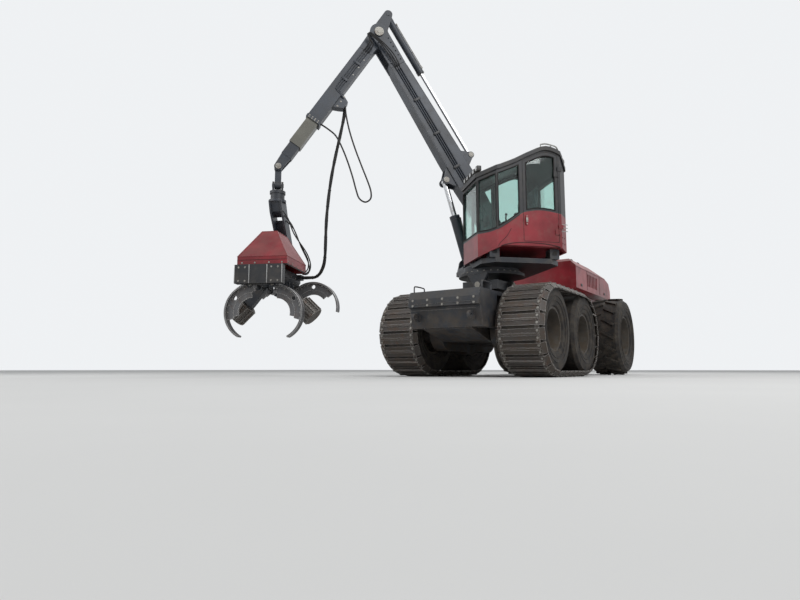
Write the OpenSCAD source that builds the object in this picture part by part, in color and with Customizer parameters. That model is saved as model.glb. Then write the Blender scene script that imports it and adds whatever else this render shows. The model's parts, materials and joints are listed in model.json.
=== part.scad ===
// Forestry harvester, six wheels: two tracked front bogies, a steered rear frame,
// and a levelled, slewing platform that carries the cab and the crane side by side.
// +X is forward on the chassis, +Y is its left, +Z is up, and the floor is z = 0.

/* [Placing] */
// Slewing axis ahead of the middle of the model's box
slew_x = 946; // [850:1:1000]
// Slewing axis left of the middle of the model's box
slew_y = 1332; // [1250:1:1400]
// Angle of the crane from straight ahead, to the right
slew_rest = 45; // [30:1:60]

/* [Tracks] */
// Radius of the joints of the track loop round a wheel
loop_r = 680; // [660:5:700]
// Shoes round each end of the loop
arc_shoes = 10; // [9:1:11]
// Shoes along the top and along the bottom of the loop
run_shoes = 7; // [6:1:8]
// Width of a track
track_w = 750; // [700:10:780]
// Distance from the middle line to the middle of a track
track_y = 1050; // [1050:5:1080]
// Thickness of a shoe above its joints
shoe_top = 14; // [10:1:20]
// Thickness of a shoe below its joints
shoe_under = 4; // [3:1:6]
// Height of the cross bars above the joints
bar_top = 35; // [30:1:45]
// Depth of the turned-in ends of the shoes
shoe_droop = 60; // [40:5:80]
// Width of the side links
link_w = 60; // [40:5:80]

/* [Bogies] */
// Width of a tyre inside a track
bogie_tyre_w = 680; // [620:10:690]
// Radius of the rims inside the tracks
bogie_rim_r = 340; // [320:5:380]
// Thickness of a bogie case
case_w = 220; // [180:5:225]
// Radius of the ends of a bogie case
case_r = 290; // [240:5:320]
// Gap between a bogie case and the inner edge of its track
case_gap = 25; // [20:5:40]

/* [Frames] */
// Height of the deck of the front frame
deck_z = 1300; // [1280:5:1320]
// Lowest height of the frames
belly_z = 560; // [500:10:600]
// Front end of the front frame, from the slewing axis
nose_x = 1750; // [1700:10:1800]
// Width of the nose of the front frame
nose_w = 1200; // [1100:10:1240]
// Distance from the slewing axis back to the steering pivot
pivot_back = 1750; // [1730:5:1800]
// Radius of the steering pin
steer_pin_r = 60; // [50:1:70]
// Width of the rear frame
rear_w = 760; // [700:10:800]
// Distance from the slewing axis back to the rear axle
rear_axle_back = 3750; // [3700:10:3800]
// Distance from the slewing axis back to the rear bumper
tail_back = 4900; // [4860:10:4960]
// Radius of the towing pin's bore
tow_bore_r = 26; // [20:1:30]
// Radius of the bores of the lashing eyes
lash_bore_r = 22; // [18:1:26]

/* [Rear wheels] */
// Radius of a rear wheel over its lugs
rear_r = 820; // [780:5:840]
// Width of a rear tyre
rear_tyre_w = 700; // [640:10:710]
// Height of the lugs
lug_h = 45; // [30:1:55]
// Lugs on each side of a rear tyre
lug_count = 18; // [14:1:20]
// Radius of a rear rim
rear_rim_r = 420; // [380:5:440]
// Radius of the rear hubs
hub_r = 150; // [130:5:170]

/* [Hood] */
// Front face of the hood, behind the slewing axis
hood_front = 2200; // [2180:10:2300]
// Highest level of the hood
hood_top = 2350; // [2300:10:2400]
// Gap between the hood and the rear tyres
hood_gap = 60; // [40:5:90]
// Width of the hood above the wheels
hood_high_w = 1640; // [1500:10:1660]
// Thickness of the hood's panels
hood_wall = 12; // [8:1:20]

/* [Levelling] */
// Height of the axes of the levelling cross
level_z = 1520; // [1515:1:1530]
// Radius of the trunnions of the levelling cross
trunnion_r = 55; // [45:1:60]
// Radius of the ears round the trunnions
ear_r = 80; // [75:1:85]
// Distance from the middle to the frame's ears
frame_ear_y = 330; // [320:5:340]
// Distance from the middle to the slewing base's ears
base_ear_x = 470; // [460:5:480]
// Thickness of the frame's ears
frame_ear_t = 70; // [60:5:75]
// Thickness of the slewing base's ears
base_ear_t = 90; // [70:5:95]
// Underside of the slewing base
base_z = 1700; // [1700:5:1720]
// Radius of the slewing bearing
slew_r = 500; // [460:10:540]

/* [Cab] */
// Rear face of the cab, from the slewing axis
cab_back = -1000; // [-1050:5:-980]
// Front face of the cab, from the slewing axis
cab_front = 500; // [480:5:540]
// Right side of the cab
cab_right = -260; // [-280:5:-250]
// Left side of the cab
cab_left = 1000; // [980:5:1040]
// Thickness of the cab's walls and doors
cab_wall = 45; // [35:1:55]
// Cut across the cab's corners
cab_corner = 150; // [120:5:180]
// Lowest level of the red body
cab_z = 1915; // [1910:1:1925]
// Level of the cab's floor
floor_z = 2060; // [2050:5:2080]
// Sill level at the front window
sill_front = 2330; // [2300:5:2360]
// Sill level at the side windows
sill_side = 2550; // [2520:5:2580]
// Roof level at the front
roof_front = 3480; // [3440:5:3520]
// Roof level at its peak
roof_peak = 3830; // [3800:5:3860]
// Roof level at the rear
roof_back = 3640; // [3600:5:3680]
// Thickness of the roof
roof_t = 80; // [60:5:100]
// Thickness of the glass
glass_t = 10; // [6:1:14]
// Rear edge of the door
door_back = -800; // [-820:5:-780]
// Front edge of the door
door_front = -75; // [-90:5:-60]
// Gap round the door
door_gap = 6; // [4:1:10]
// Width of the frame round a window
frame_w = 55; // [45:5:70]

/* [Crane] */
// Plane of the crane, right of the slewing axis
crane_y = -550; // [-560:1:-545]
// Boom pivot, forward of the slewing axis
boom_x = -300; // [-320:5:-280]
// Height of the boom pivot
boom_z = 2600; // [2580:5:2620]
// Length of the main boom between its pins
boom_l = 4350; // [4300:10:4400]
// Angle of the main boom above level
boom_up = 58.8; // [56:0.2:60]
// Width of the main boom
boom_w = 310; // [300:2:320]
// Angle of the outer boom below level
outer_down = 56.6; // [55:0.2:58]
// Length of the outer boom from its pin to the tip pin
outer_l = 3200; // [3180:10:3220]
// Radius of the boom pins
pin_r = 50; // [44:1:55]
// Length of the outer boom's lever above the elbow
horn_r = 450; // [440:5:460]
// Radius of the outer boom's cylinder
jib_barrel_r = 66; // [60:1:68]
// Radius of the lift cylinder
lift_barrel_r = 90; // [80:1:95]
// Height of the outer boom's sleeve
sleeve_h = 260; // [250:2:270]
// Width of the outer boom's sleeve
sleeve_w = 230; // [224:2:236]
// Wall of the telescopic sections
section_wall = 13; // [12:1:15]
// Gap between the telescopic sections
section_gap = 3; // [3:1:4]

/* [Head] */
// Angle of the head round the rotator's axis
head_yaw = 70; // [60:5:80]
// Tilt axis of the head below the boom tip
tilt_drop = 1760; // [1740:5:1780]
// Tilt axis of the head behind the rotator's axis
tilt_back = 420; // [410:5:430]
// Knife hinges below the boom tip
knife_drop = 2160; // [2150:5:2170]
// Distance from the head's middle to the knife hinges
knife_y = 190; // [185:1:200]
// Radius of the knife hinge pins
knife_pin_r = 28; // [24:1:30]
// Outer radius of a knife's curve
knife_r = 450; // [440:5:460]
// Opening of the front knives at rest
front_open = 8; // [4:1:12]
// Opening of the rear knives at rest
rear_open = 60; // [54:1:64]
// Radius of a feed roller over its studs
roller_r = 185; // [170:5:188]
// Length of a feed roller
roller_l = 320; // [300:5:330]
// Head's body behind the middle of its bracket's turntable, so that it hangs level
head_balance = 84; // [70:1:100]
// Opening of the roller arms at rest
roller_open = 46; // [42:1:50]
// Thickness of the head's cover
cover_wall = 8; // [6:1:10]

/* [Hidden] */
$fn = 48;

// clearances
run_gap = 0.3;
side_gap = 5;

// tracks and bogies
arc_step = 180 / arc_shoes;
pitch = 2 * loop_r * sin(arc_step / 2);
bogie_base = run_shoes * pitch;
axle_z = loop_r + bar_top;
bogie_tyre_r = loop_r * cos(arc_step / 2) - shoe_under - run_gap;
loop_count = 2 * (arc_shoes + run_shoes);
case_out = track_y - track_w / 2 - case_gap;
case_in = case_out - case_w;
axle_tube_r = 170;

// levelling and slewing
base_top = base_z + 100;
deck_under = base_top + run_gap;
deck_top = 1900;

// crane, worked out from the pins
elbow = [boom_x + boom_l * cos(boom_up), boom_z + boom_l * sin(boom_up)];
tip = [elbow[0] + outer_l * cos(outer_down), elbow[1] - outer_l * sin(outer_down)];
jib_fold = boom_up + outer_down;
horn_at = 55;
horn_pin = [horn_r * cos(horn_at), horn_r * sin(horn_at)];
jib_eye_back = 2800;
lift_foot = [250, 2050];
lift_at = [1350, -330];
lift_eye = [boom_x + lift_at[0] * cos(boom_up) - lift_at[1] * sin(boom_up),
    boom_z + lift_at[0] * sin(boom_up) + lift_at[1] * cos(boom_up)];
lift_line = lift_eye - lift_foot;
lift_len = norm(lift_line);
lift_angle = atan2(lift_line[1], lift_line[0]);
small_pin_r = 35;

// head levels
tilt_z = tip[1] - tilt_drop;
knife_z = tip[1] - knife_drop;
link_drop = 330;
rotor_drop = 600;

// placing of the bodies
module on_chassis() translate([slew_x, slew_y, 0]) children();
module on_platform() on_chassis() rotate([0, 0, -slew_rest]) children();
module on_crane() on_platform() translate([0, crane_y, 0]) children();
module on_boom() on_crane() translate([boom_x, 0, boom_z]) rotate([0, -boom_up, 0]) children();
module on_outer() on_boom() translate([boom_l, 0, 0]) rotate([0, jib_fold, 0]) children();
module on_bracket() on_crane() translate([tip[0], 0, 0]) rotate([0, 0, head_yaw]) children();
module on_head() on_bracket() translate([-head_balance, 0, 0]) children();
module on_rear() on_chassis() translate([-pivot_back, 0, 0]) children();

// a side view drawn in x and z, given a width across y
module side_plate(w, y = 0) {
    translate([0, y + w / 2, 0]) rotate([90, 0, 0]) linear_extrude(w) children();
}
// a front view drawn in y and z, given a length along x
module cross_plate(l, x = 0) {
    translate([x - l / 2, 0, 0]) rotate([90, 0, 90]) linear_extrude(l) children();
}
module pin_y(r, l, at = [0, 0], y = 0) {
    translate([at[0], y + l / 2, at[1]]) rotate([90, 0, 0]) cylinder(r = r, h = l);
}
module pin_x(r, l, at = [0, 0], x = 0) {
    translate([x - l / 2, at[0], at[1]]) rotate([0, 90, 0]) cylinder(r = r, h = l);
}
module both_sides() {
    children();
    mirror([0, 1, 0]) children();
}
module ring(r_out, r_in) {
    difference() {
        circle(r_out);
        circle(r_in);
    }
}

// joints of the track loop, from under the front wheel round its front
function loop_pt(i) =
    i <= arc_shoes ? [bogie_base / 2 + loop_r * cos(i * arc_step - 90), loop_r * sin(i * arc_step - 90)] :
    i <= arc_shoes + run_shoes ? [bogie_base / 2 - (i - arc_shoes) * pitch, loop_r] :
    i <= 2 * arc_shoes + run_shoes ?
        [-bogie_base / 2 + loop_r * cos(90 + (i - arc_shoes - run_shoes) * arc_step),
            loop_r * sin(90 + (i - arc_shoes - run_shoes) * arc_step)] :
    [-bogie_base / 2 + (i - 2 * arc_shoes - run_shoes) * pitch, -loop_r];

module loop_outline(grow) {
    polygon([for (i = [0 : loop_count - 1]) let (p = loop_pt(i), s = p[0] > 0 ? 1 : -1)
        let (c = [s * bogie_base / 2, 0], far = abs(p[0]) > bogie_base / 2 - 1)
        far ? c + (p - c) * (loop_r + grow) / loop_r : [p[0], sign(p[1]) * (loop_r + grow)]]);
}

module shoe() {
    w = track_w / 2;
    t = shoe_top + shoe_under;
    slope = 60;
    rotate([90, 0, 90]) linear_extrude(0.8 * pitch, center = true)
        polygon([[-w, -shoe_droop], [-w, -shoe_droop + t], [-w + slope, shoe_top], [w - slope, shoe_top],
            [w, -shoe_droop + t], [w, -shoe_droop], [w - t, -shoe_droop], [w - slope - t / 2, -shoe_under],
            [t / 2 + slope - w, -shoe_under], [t - w, -shoe_droop]]);
    rotate([90, 0, 0]) linear_extrude(track_w - 2 * slope - 20, center = true)
        polygon([[-24, shoe_top - 2], [24, shoe_top - 2], [14, bar_top], [-14, bar_top]]);
}

module track(side) {
    on_chassis() translate([0, side * track_y, axle_z]) {
        for (i = [0 : loop_count - 1]) {
            a = loop_pt(i);
            b = loop_pt((i + 1) % loop_count);
            m = (a + b) / 2;
            turn = atan2(b[1] - a[1], b[0] - a[0]);
            translate([m[0], 0, m[1]]) rotate([0, -turn - 180, 0]) shoe();
        }
        for (edge = [-1, 1])
            side_plate(link_w, edge * (track_w / 2 - 60 - link_w / 2)) difference() {
                loop_outline(shoe_top - 3);
                loop_outline(-shoe_under);
            }
    }
}

module track_left() color("dimgray") track(1);
module track_right() color("dimgray") track(-1);

module bogie_cases() color("#2b3038") on_chassis() both_sides() translate([0, 0, axle_z]) {
    mid = (case_in + case_out) / 2;
    side_plate(case_w, mid) {
        for (end = [-1, 1]) translate([end * bogie_base / 2, 0]) circle(case_r);
        circle(case_r + 50);
        polygon([[-bogie_base / 2, -case_r], [bogie_base / 2, -case_r],
            [bogie_base / 2, case_r], [-bogie_base / 2, case_r]]);
    }
    for (end = [-1, 1]) {
        pin_y(hub_r, track_y - 100 - case_out, [end * bogie_base / 2, 0], (track_y - 100 + case_out) / 2);
        pin_y(case_r - 30, 18, [end * bogie_base / 2, 0], case_out + 9);
    }
}

// half section of a tyre: rim radius, tread radius and width
module tyre_section(r_in, r_out, w) {
    polygon([[r_in, -w * 0.42], [r_in + 20, -w * 0.46], [(r_in + r_out) / 2, -w / 2],
        [r_out - 45, -w * 0.48], [r_out, -w * 0.40], [r_out, w * 0.40], [r_out - 45, w * 0.48],
        [(r_in + r_out) / 2, w / 2], [r_in + 20, w * 0.46], [r_in, w * 0.42]]);
}
module upright(at) translate(at) rotate([90, 0, 0]) children();

module bogie_tyres() color("#26272a") on_chassis() both_sides() for (end = [-1, 1])
    upright([end * bogie_base / 2, track_y, axle_z]) rotate_extrude($fn = 40)
        tyre_section(bogie_rim_r, bogie_tyre_r, bogie_tyre_w);

// a rim with a deep dish: rim radius, width, and the place of its disc
module rim(r, w, disc) {
    rotate_extrude()
        polygon([[hub_r + run_gap, disc], [r - 60, disc], [r - 28, -w / 2], [r - run_gap, -w / 2],
            [r - run_gap, w / 2], [r - 28, w / 2], [r - 50, disc + 22], [hub_r + run_gap, disc + 22]]);
}

module bogie_rims() color("#8d8a80") on_chassis() both_sides() for (end = [-1, 1])
    translate([end * bogie_base / 2, track_y, axle_z]) rotate([-90, 0, 0])
        rim(bogie_rim_r, bogie_tyre_w * 0.84, -140);

module front_frame() color("#23272e") on_chassis() {
    narrow = 2 * case_in - 40;
    difference() {
        union() {
            side_plate(narrow) polygon([[-1150, belly_z + 120], [-900, belly_z], [1000, belly_z],
                [nose_x - 150, belly_z + 160], [nose_x - 150, deck_z], [-1150, deck_z]]);
            side_plate(nose_w) polygon([[1120, belly_z + 180], [nose_x - 120, belly_z + 180],
                [nose_x - 60, 1040], [nose_x, 1060], [nose_x, 1180], [nose_x - 60, deck_z], [1120, deck_z]]);
            translate([-1100, -nose_w / 2, deck_z - 60]) cube([2600, nose_w, 60]);
            for (z = [belly_z + 120, deck_z - 130]) tongue(z, 70);
            pin_y(axle_tube_r, 2 * case_in, [0, axle_z]);
            both_sides() side_plate(frame_ear_t, frame_ear_y + frame_ear_t / 2) {
                translate([0, level_z]) circle(ear_r);
                polygon([[-200, deck_z - 10], [200, deck_z - 10], [ear_r, level_z], [-ear_r, level_z]]);
            }
            both_sides() side_plate(40, 470) {
                translate([nose_x + 25, 900]) circle(60);
                polygon([[nose_x - 130, 840], [nose_x + 25, 840], [nose_x + 25, 960], [nose_x - 130, 960]]);
            }
        }
        pin_y(trunnion_r + run_gap, 2 * (frame_ear_y + frame_ear_t) + 40, [0, level_z]);
        pin_y(lash_bore_r, 1100, [nose_x + 25, 900]);
    }
    translate([-pivot_back, 0, belly_z + 120]) cylinder(r = steer_pin_r, h = deck_z - 60 - belly_z - 120);
}

// a flat tongue that reaches back to the steering pin
module tongue(z, t) translate([0, 0, z]) linear_extrude(t) {
    translate([-pivot_back, 0]) circle(150);
    polygon([[-pivot_back, -150], [-1100, -360], [-1100, 360], [-pivot_back, 150]]);
}

module rear_frame() color("#23272e") {
    low = belly_z + 120 + 70 + side_gap;
    high = deck_z - 130 - 70 - side_gap;
    back = tail_back - pivot_back;
    axle = rear_axle_back - pivot_back;
    on_rear() difference() {
        union() {
            for (z = [low, high]) translate([0, 0, z]) linear_extrude(70) {
                circle(150);
                polygon([[0, -150], [-420, -300], [-420, 300], [0, 150]]);
            }
            side_plate(rear_w) polygon([[-400, low - 40], [-700, belly_z + 40], [-back + 250, belly_z + 40],
                [-back + 60, 760], [-back + 60, 1000 - run_gap], [-440, 1000 - run_gap], [-400, high + 70]]);
            pin_y(140, 2 * (track_y - 120), [-axle, rear_r]);
            pin_y(172, 300, [-axle, rear_r]);
            translate([-back, -700, 700]) cube([70, 1400, 240]);
            both_sides() side_plate(30, 70)
                polygon([[-back + 10, 720], [-back - 80, 770], [-back - 80, 870], [-back + 10, 920]]);
        }
        translate([0, 0, low - 50]) cylinder(r = steer_pin_r + run_gap, h = high - low + 200);
        pin_y(tow_bore_r, 400, [-back - 38, 820]);
    }
}

module engine() color("#50545a") on_rear()
    translate([-tail_back + pivot_back + 700, -330, 1000]) cube([1250, 660, 800]);

// levels of the hood's lower edge and of its shoulder over the wheels
hood_low = 1000;
hood_shoulder = 1740;

// outline of the hood seen from the front, drawn in by a wall
module hood_cross(cut) {
    low = track_y - rear_tyre_w / 2 - hood_gap - cut;
    high = hood_high_w / 2 - cut;
    top = hood_top - cut;
    shoulder = hood_shoulder + cut;
    polygon([[-low, hood_low], [-low, shoulder - 60], [-high, shoulder], [-high, top - 160], [-high + 160, top],
        [high - 160, top], [high, top - 160], [high, shoulder], [low, shoulder - 60], [low, hood_low]]);
}
module hood_side(cut) {
    front = -(hood_front - pivot_back) - cut;
    back = -(tail_back - pivot_back) + 80 + cut;
    top = hood_top - cut;
    polygon([[front, hood_low - 10], [front, top - 60], [front - 80, top], [-1900, top], [back + 120, top - 240],
        [back, top - 420], [back, hood_low - 10]]);
}
module hood() color("#9c1f22") on_rear() difference() {
    intersection() {
        cross_plate(3200, -1600) hood_cross(0);
        side_plate(2 * hood_high_w) hood_side(0);
    }
    intersection() {
        cross_plate(3400, -1600) hood_cross(hood_wall);
        side_plate(2 * hood_high_w) hood_side(hood_wall);
    }
    translate([-4000, -hood_high_w, hood_low - 20]) cube([4000, 2 * hood_high_w, 20]);
    // cooling slots in both sides and at the rear
    for (i = [0 : 6]) {
        translate([-1300 - i * 110, -hood_high_w, 1850]) cube([60, 2 * hood_high_w, 260]);
        translate([-(tail_back - pivot_back), -480, 1180 + i * 90]) cube([200, 960, 45]);
    }
}

module rear_tyre(side) color("#222326") on_rear()
    translate([pivot_back - rear_axle_back, side * track_y, rear_r]) rotate([90, 0, 0]) {
        rotate_extrude($fn = 48) tyre_section(rear_rim_r, rear_r - lug_h, rear_tyre_w);
        step = 360 / lug_count;
        for (edge = [-1, 1], i = [0 : lug_count - 1])
            rotate([0, 0, i * step + (edge + 1) * step / 4])
                translate([rear_r - lug_h - 12, 0, edge * rear_tyre_w / 5])
                rotate([edge * side * 32, 0, 0]) translate([0, -28, -rear_tyre_w / 5])
                    cube([lug_h + 6, 56, rear_tyre_w * 0.4]);
    }
module rear_tyre_left() rear_tyre(1);
module rear_tyre_right() rear_tyre(-1);

module rear_rim(side) color("#8d8a80") on_rear()
    translate([pivot_back - rear_axle_back, side * track_y, rear_r]) rotate([side * -90, 0, 0]) {
        difference() {
            rim(rear_rim_r, rear_tyre_w * 0.84, 0);
            for (i = [0 : 7]) rotate([0, 0, i * 45]) translate([270, 0, -60]) cylinder(r = 40, h = 160);
        }
        translate([0, 0, -120 + run_gap]) cylinder(r = hub_r + 10, h = 160);
    }
module rear_rim_left() rear_rim(1);
module rear_rim_right() rear_rim(-1);

module level_cross() color("#2c3036") on_chassis() {
    pin_y(trunnion_r, 2 * (frame_ear_y + frame_ear_t), [0, level_z]);
    pin_x(trunnion_r, 2 * (base_ear_x + base_ear_t), [0, level_z]);
    difference() {
        translate([-base_ear_x + side_gap, -frame_ear_y + side_gap, level_z - 75])
            cube([2 * (base_ear_x - side_gap), 2 * (frame_ear_y - side_gap), 150]);
        for (sx = [-1, 1], sy = [-1, 1]) translate([sx * 280 - 110, sy * 190 - 70, level_z - 80])
            cube([220, 140, 160]);
    }
}

module slew_base() color("#2c3036") on_chassis() difference() {
    union() {
        translate([0, 0, base_z]) cylinder(r = slew_r + 70, h = 45);
        translate([0, 0, base_z + 45 - 1]) cylinder(r = slew_r, h = 56);
        for (s = [-1, 1]) cross_plate(base_ear_t, s * (base_ear_x + base_ear_t / 2)) {
            translate([0, level_z]) circle(ear_r);
            polygon([[-190, base_z + 10], [190, base_z + 10], [ear_r, level_z], [-ear_r, level_z]]);
        }
    }
    pin_x(trunnion_r + run_gap, 2 * (base_ear_x + base_ear_t) + 40, [0, level_z]);
}

// plan of the cab, drawn in by a wall
module cab_plan(cut) {
    x1 = cab_back + cut;
    x2 = cab_front - cut;
    y1 = cab_right + cut;
    y2 = cab_left - cut;
    c = cab_corner - cut * 0.6;
    polygon([[x1 + c, y1], [x2 - c, y1], [x2, y1 + c], [x2, y2 - c], [x2 - c, y2], [x1 + c, y2],
        [x1, y2 - c], [x1, y1 + c]]);
}

// side outlines of the cab: its bottom, its sills and its roof
bottom_line = [[cab_back, cab_z + 60], [-800, cab_z + 60], [-350, cab_z + 135], [150, cab_z + 125],
    [cab_front, cab_z]];
sill_line = [[cab_front, sill_front], [330, sill_front + 20], [120, sill_side - 90],
    [door_front + 60, sill_side - 20], [-350, sill_side + 10], [door_back, sill_side - 20], [cab_back, sill_side - 50]];
roof_line = [[cab_front, roof_front], [200, roof_front + 130], [-540, roof_peak], [-880, roof_peak - 110],
    [cab_back, roof_back]];

function backwards(line) = [for (i = [len(line) - 1 : -1 : 0]) line[i]];
function raised(line, d) = [for (p = line) [p[0], p[1] + d]];

module cab_ring() translate([0, 0, 1800]) linear_extrude(2400) difference() {
    cab_plan(0);
    cab_plan(cab_wall);
}
cab_mid = (cab_left + cab_right) / 2;
cab_w = cab_left - cab_right;

door_low = cab_z + 180;
door_top = roof_back - 20;
pane_top = door_top - 70;
module door_hole(gap) {
    translate([door_back - gap, cab_left - cab_wall - 10, door_low - gap])
        cube([door_front - door_back + 2 * gap, cab_wall + 60, door_top - door_low + 2 * gap]);
}

module cab_body() color("#a32226") on_platform() {
    difference() {
        intersection() {
            cab_ring();
            side_plate(cab_w + 20, cab_mid) polygon(concat(bottom_line, sill_line));
        }
        door_hole(door_gap);
        // air slots low at the rear of both sides
        for (i = [0 : 2]) translate([door_back - 150, cab_right - 20, 2330 + i * 55])
            cube([110, cab_w + 40, 22]);
    }
    translate([0, 0, floor_z]) linear_extrude(30) cab_plan(cab_wall - 5);
    hinge_knuckle(hinge_levels[0] + 90 + run_gap);
}
hinge_levels = [2280, 3300];
module hinge_knuckle(z) {
    translate([hinge_x, hinge_y, z]) cylinder(r = 13, h = 70);
    translate([hinge_x - 70, cab_left - 2, z]) cube([70, 16, 70]);
}

module cab_frame() color("#202226") on_platform() {
    windows_cut();
    hinge_knuckle(hinge_levels[1] + 90 + run_gap);
}
module windows_cut() difference() {
    intersection() {
        cab_ring();
        side_plate(cab_w + 20, cab_mid) polygon(concat(sill_line, backwards(roof_line)));
    }
    door_hole(door_gap);
    // front windows and the two that wrap round the corners
    translate([cab_front - 80, cab_right + cab_corner + 20, sill_front + 35])
        cube([200, cab_w - 2 * cab_corner - 40, roof_front - sill_front - 90]);
    for (y = [cab_right - 50, cab_left - 60])
        side_plate(200, y + 50) polygon([
            [cab_front - cab_corner - 10, sill_front + 50], [330, sill_front + 60],
            [150, sill_side - 60], [80, sill_side - 20], [80, roof_front + 110], [180, roof_front + 90],
            [cab_front - cab_corner - 10, roof_front + 10]]);
    // rear window and the one on the crane's side
    translate([cab_back - 60, cab_right + cab_corner + 30, sill_side + 30])
        cube([200, cab_w - 2 * cab_corner - 60, roof_back - sill_side - 130]);
    translate([door_back, cab_right - 60, sill_side + 60]) cube([door_front - door_back, 150, 900]);
}

module cab_roof() color("#1c1e22") on_platform() intersection() {
    translate([0, 0, 3000]) linear_extrude(1500) cab_plan(-30);
    side_plate(cab_w + 200, cab_mid) polygon(concat(
        [[cab_front + 30, roof_front - 9]], roof_line, [[cab_back - 30, roof_back - 20]],
        backwards(raised(roof_line, roof_t)), [[cab_front + 30, roof_front + roof_t - 9]]));
}

module cab_glass() color("#9fc4c4") on_platform() {
    x = cab_front - cab_wall / 2;
    translate([x, cab_right + cab_corner + 20.5, sill_front + 35.5])
        cube([glass_t, cab_w - 2 * cab_corner - 41, roof_front - sill_front - 91]);
    for (y = [cab_right + cab_wall / 2, cab_left - cab_wall / 2])
        side_plate(glass_t, y) polygon([
            [cab_front - cab_corner - 11, sill_front + 51], [330, sill_front + 61],
            [150, sill_side - 59], [80.5, sill_side - 19], [80.5, roof_front + 109], [180, roof_front + 89],
            [cab_front - cab_corner - 11, roof_front + 10]]);
    translate([cab_back + cab_wall / 2, cab_right + cab_corner + 30.5, sill_side + 30.5])
        cube([glass_t, cab_w - 2 * cab_corner - 61, roof_back - sill_side - 131]);
    translate([door_back + 0.5, cab_right + cab_wall / 2, sill_side + 60.5])
        cube([door_front - door_back - 1, glass_t, 899]);
}

// door: outline set into the cab's left wall
module door_outline(cut, low) polygon([[door_back + cut, low], [door_front - cut, low],
    [door_front - cut, door_top - cut - 60], [door_front - cut - 60, door_top - cut],
    [door_back + cut + 60, door_top - cut], [door_back + cut, door_top - cut - 60]]);
hinge_x = door_back - 3;
hinge_y = cab_left + 14;
module cab_door() color("#a32226") on_platform() {
    difference() {
        union() {
            side_plate(cab_wall, cab_left - cab_wall / 2) door_outline(0, door_low);
            for (z = hinge_levels) {
                translate([hinge_x, hinge_y, z]) cylinder(r = 13, h = 90);
                translate([hinge_x, cab_left - 1, z]) cube([70, 15, 90]);
            }
            translate([door_front - 60, cab_left - 1, 2420]) cube([30, 26, 150]);
        }
        side_plate(400, cab_left) polygon([[door_back + frame_w, sill_side + 10], [-350, sill_side + 30],
            [door_front - frame_w, sill_side + 10], [door_front - frame_w, pane_top - 60],
            [door_front - frame_w - 60, pane_top], [door_back + frame_w + 60, pane_top],
            [door_back + frame_w, pane_top - 60]]);
    }
}
module door_glass() color("#9fc4c4") on_platform() side_plate(glass_t, cab_left - cab_wall / 2)
    polygon([[door_back + frame_w + 0.5, sill_side + 11], [-350, sill_side + 31],
        [door_front - frame_w - 0.5, sill_side + 11], [door_front - frame_w - 0.5, pane_top - 61],
        [door_front - frame_w - 60, pane_top - 1], [door_back + frame_w + 60, pane_top - 1],
        [door_back + frame_w + 0.5, pane_top - 61]]);

seat_x = -420;
module seat_base() color("#2a2c30") on_platform() {
    translate([seat_x - 180, cab_mid - 180, floor_z + 30]) cube([360, 360, 330]);
    translate([seat_x - 230, cab_mid - 230, floor_z + 359]) cube([480, 460, 40]);
    for (s = [-1, 1]) translate([seat_x - 200, cab_mid + s * 290 - 55, floor_z + 560]) cube([430, 110, 60]);
    for (s = [-1, 1]) translate([seat_x - 200, cab_mid + s * 257 - 30, floor_z + 380]) cube([60, 60, 181]);
}
module seat_cushion() color("#3a3d42") on_platform() {
    translate([seat_x - 210, cab_mid - 220, floor_z + 399 + run_gap]) cube([470, 440, 130]);
    side_plate(420, cab_mid) polygon([[seat_x - 200, floor_z + 529.6], [seat_x - 90, floor_z + 529.6],
        [seat_x - 190, floor_z + 1180], [seat_x - 280, floor_z + 1180]]);
}

// level of the roof's outer face over its front slope, a distance behind the front
roof_slope = (roof_line[1][1] - roof_front) / (cab_front - roof_line[1][0]);
function roof_over(d) = roof_front + roof_t + d * roof_slope;
lamp_w = 124;
lamp_h = 96;
module work_lamps() color("#d8d8d0") on_platform() {
    low = roof_over(90) + 15;
    for (i = [0 : 4]) {
        y = cab_right + 190 + i * (cab_w - 380) / 4;
        side_plate(24, y) polygon([
            [cab_front - 70, roof_over(70) + run_gap], [cab_front - 40, roof_over(40) + run_gap],
            [cab_front - 40, low + 10], [cab_front - 70, low + 10]]);
        translate([cab_front - 88, y - lamp_w / 2, low]) cube([75, lamp_w, lamp_h]);
    }
}

module platform() color("#23272e") on_platform() {
    translate([0, 0, deck_under]) cylinder(r = slew_r - 20, h = 60);
    translate([0, 0, deck_under + 20]) linear_extrude(deck_top - deck_under - 20)
        polygon([[-900, -760], [-760, -860], [240, -860], [430, -700], [430, 700], [250, 900],
            [-700, 900], [-900, 720]]);
    // blocks that carry the cab
    for (x = [-780, 250], y = [-140, 740]) translate([x - 60, y, deck_top - 1])
        cube([160, 160, floor_z - deck_top + 1]);
}

post_gap = boom_w / 2 + 20;
module crane_post() color("#20242b") on_crane() {
    difference() {
        both_sides() side_plate(40, post_gap + 20) {
            polygon([[-820, deck_top], [400, deck_top], [lift_foot[0] + 110, lift_foot[1] + 20],
                [120, 2330], [boom_x + 160, boom_z + 30], [boom_x - 165, boom_z], [-620, 2250]]);
            translate([boom_x, boom_z]) circle(170);
            translate(lift_foot) circle(115);
        }
        pin_y(pin_r + run_gap, 2 * post_gap + 120, [boom_x, boom_z]);
        pin_y(small_pin_r + run_gap, 2 * post_gap + 120, lift_foot);
    }
    side_plate(2 * post_gap + 2)
        polygon([[-820, deck_top], [40, deck_top], [-60, 2020], [-520, 2330], [-620, 2250]]);
    side_plate(2 * post_gap + 2) polygon([[330, deck_top], [400, deck_top], [400, deck_top + 60]]);
}

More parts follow.
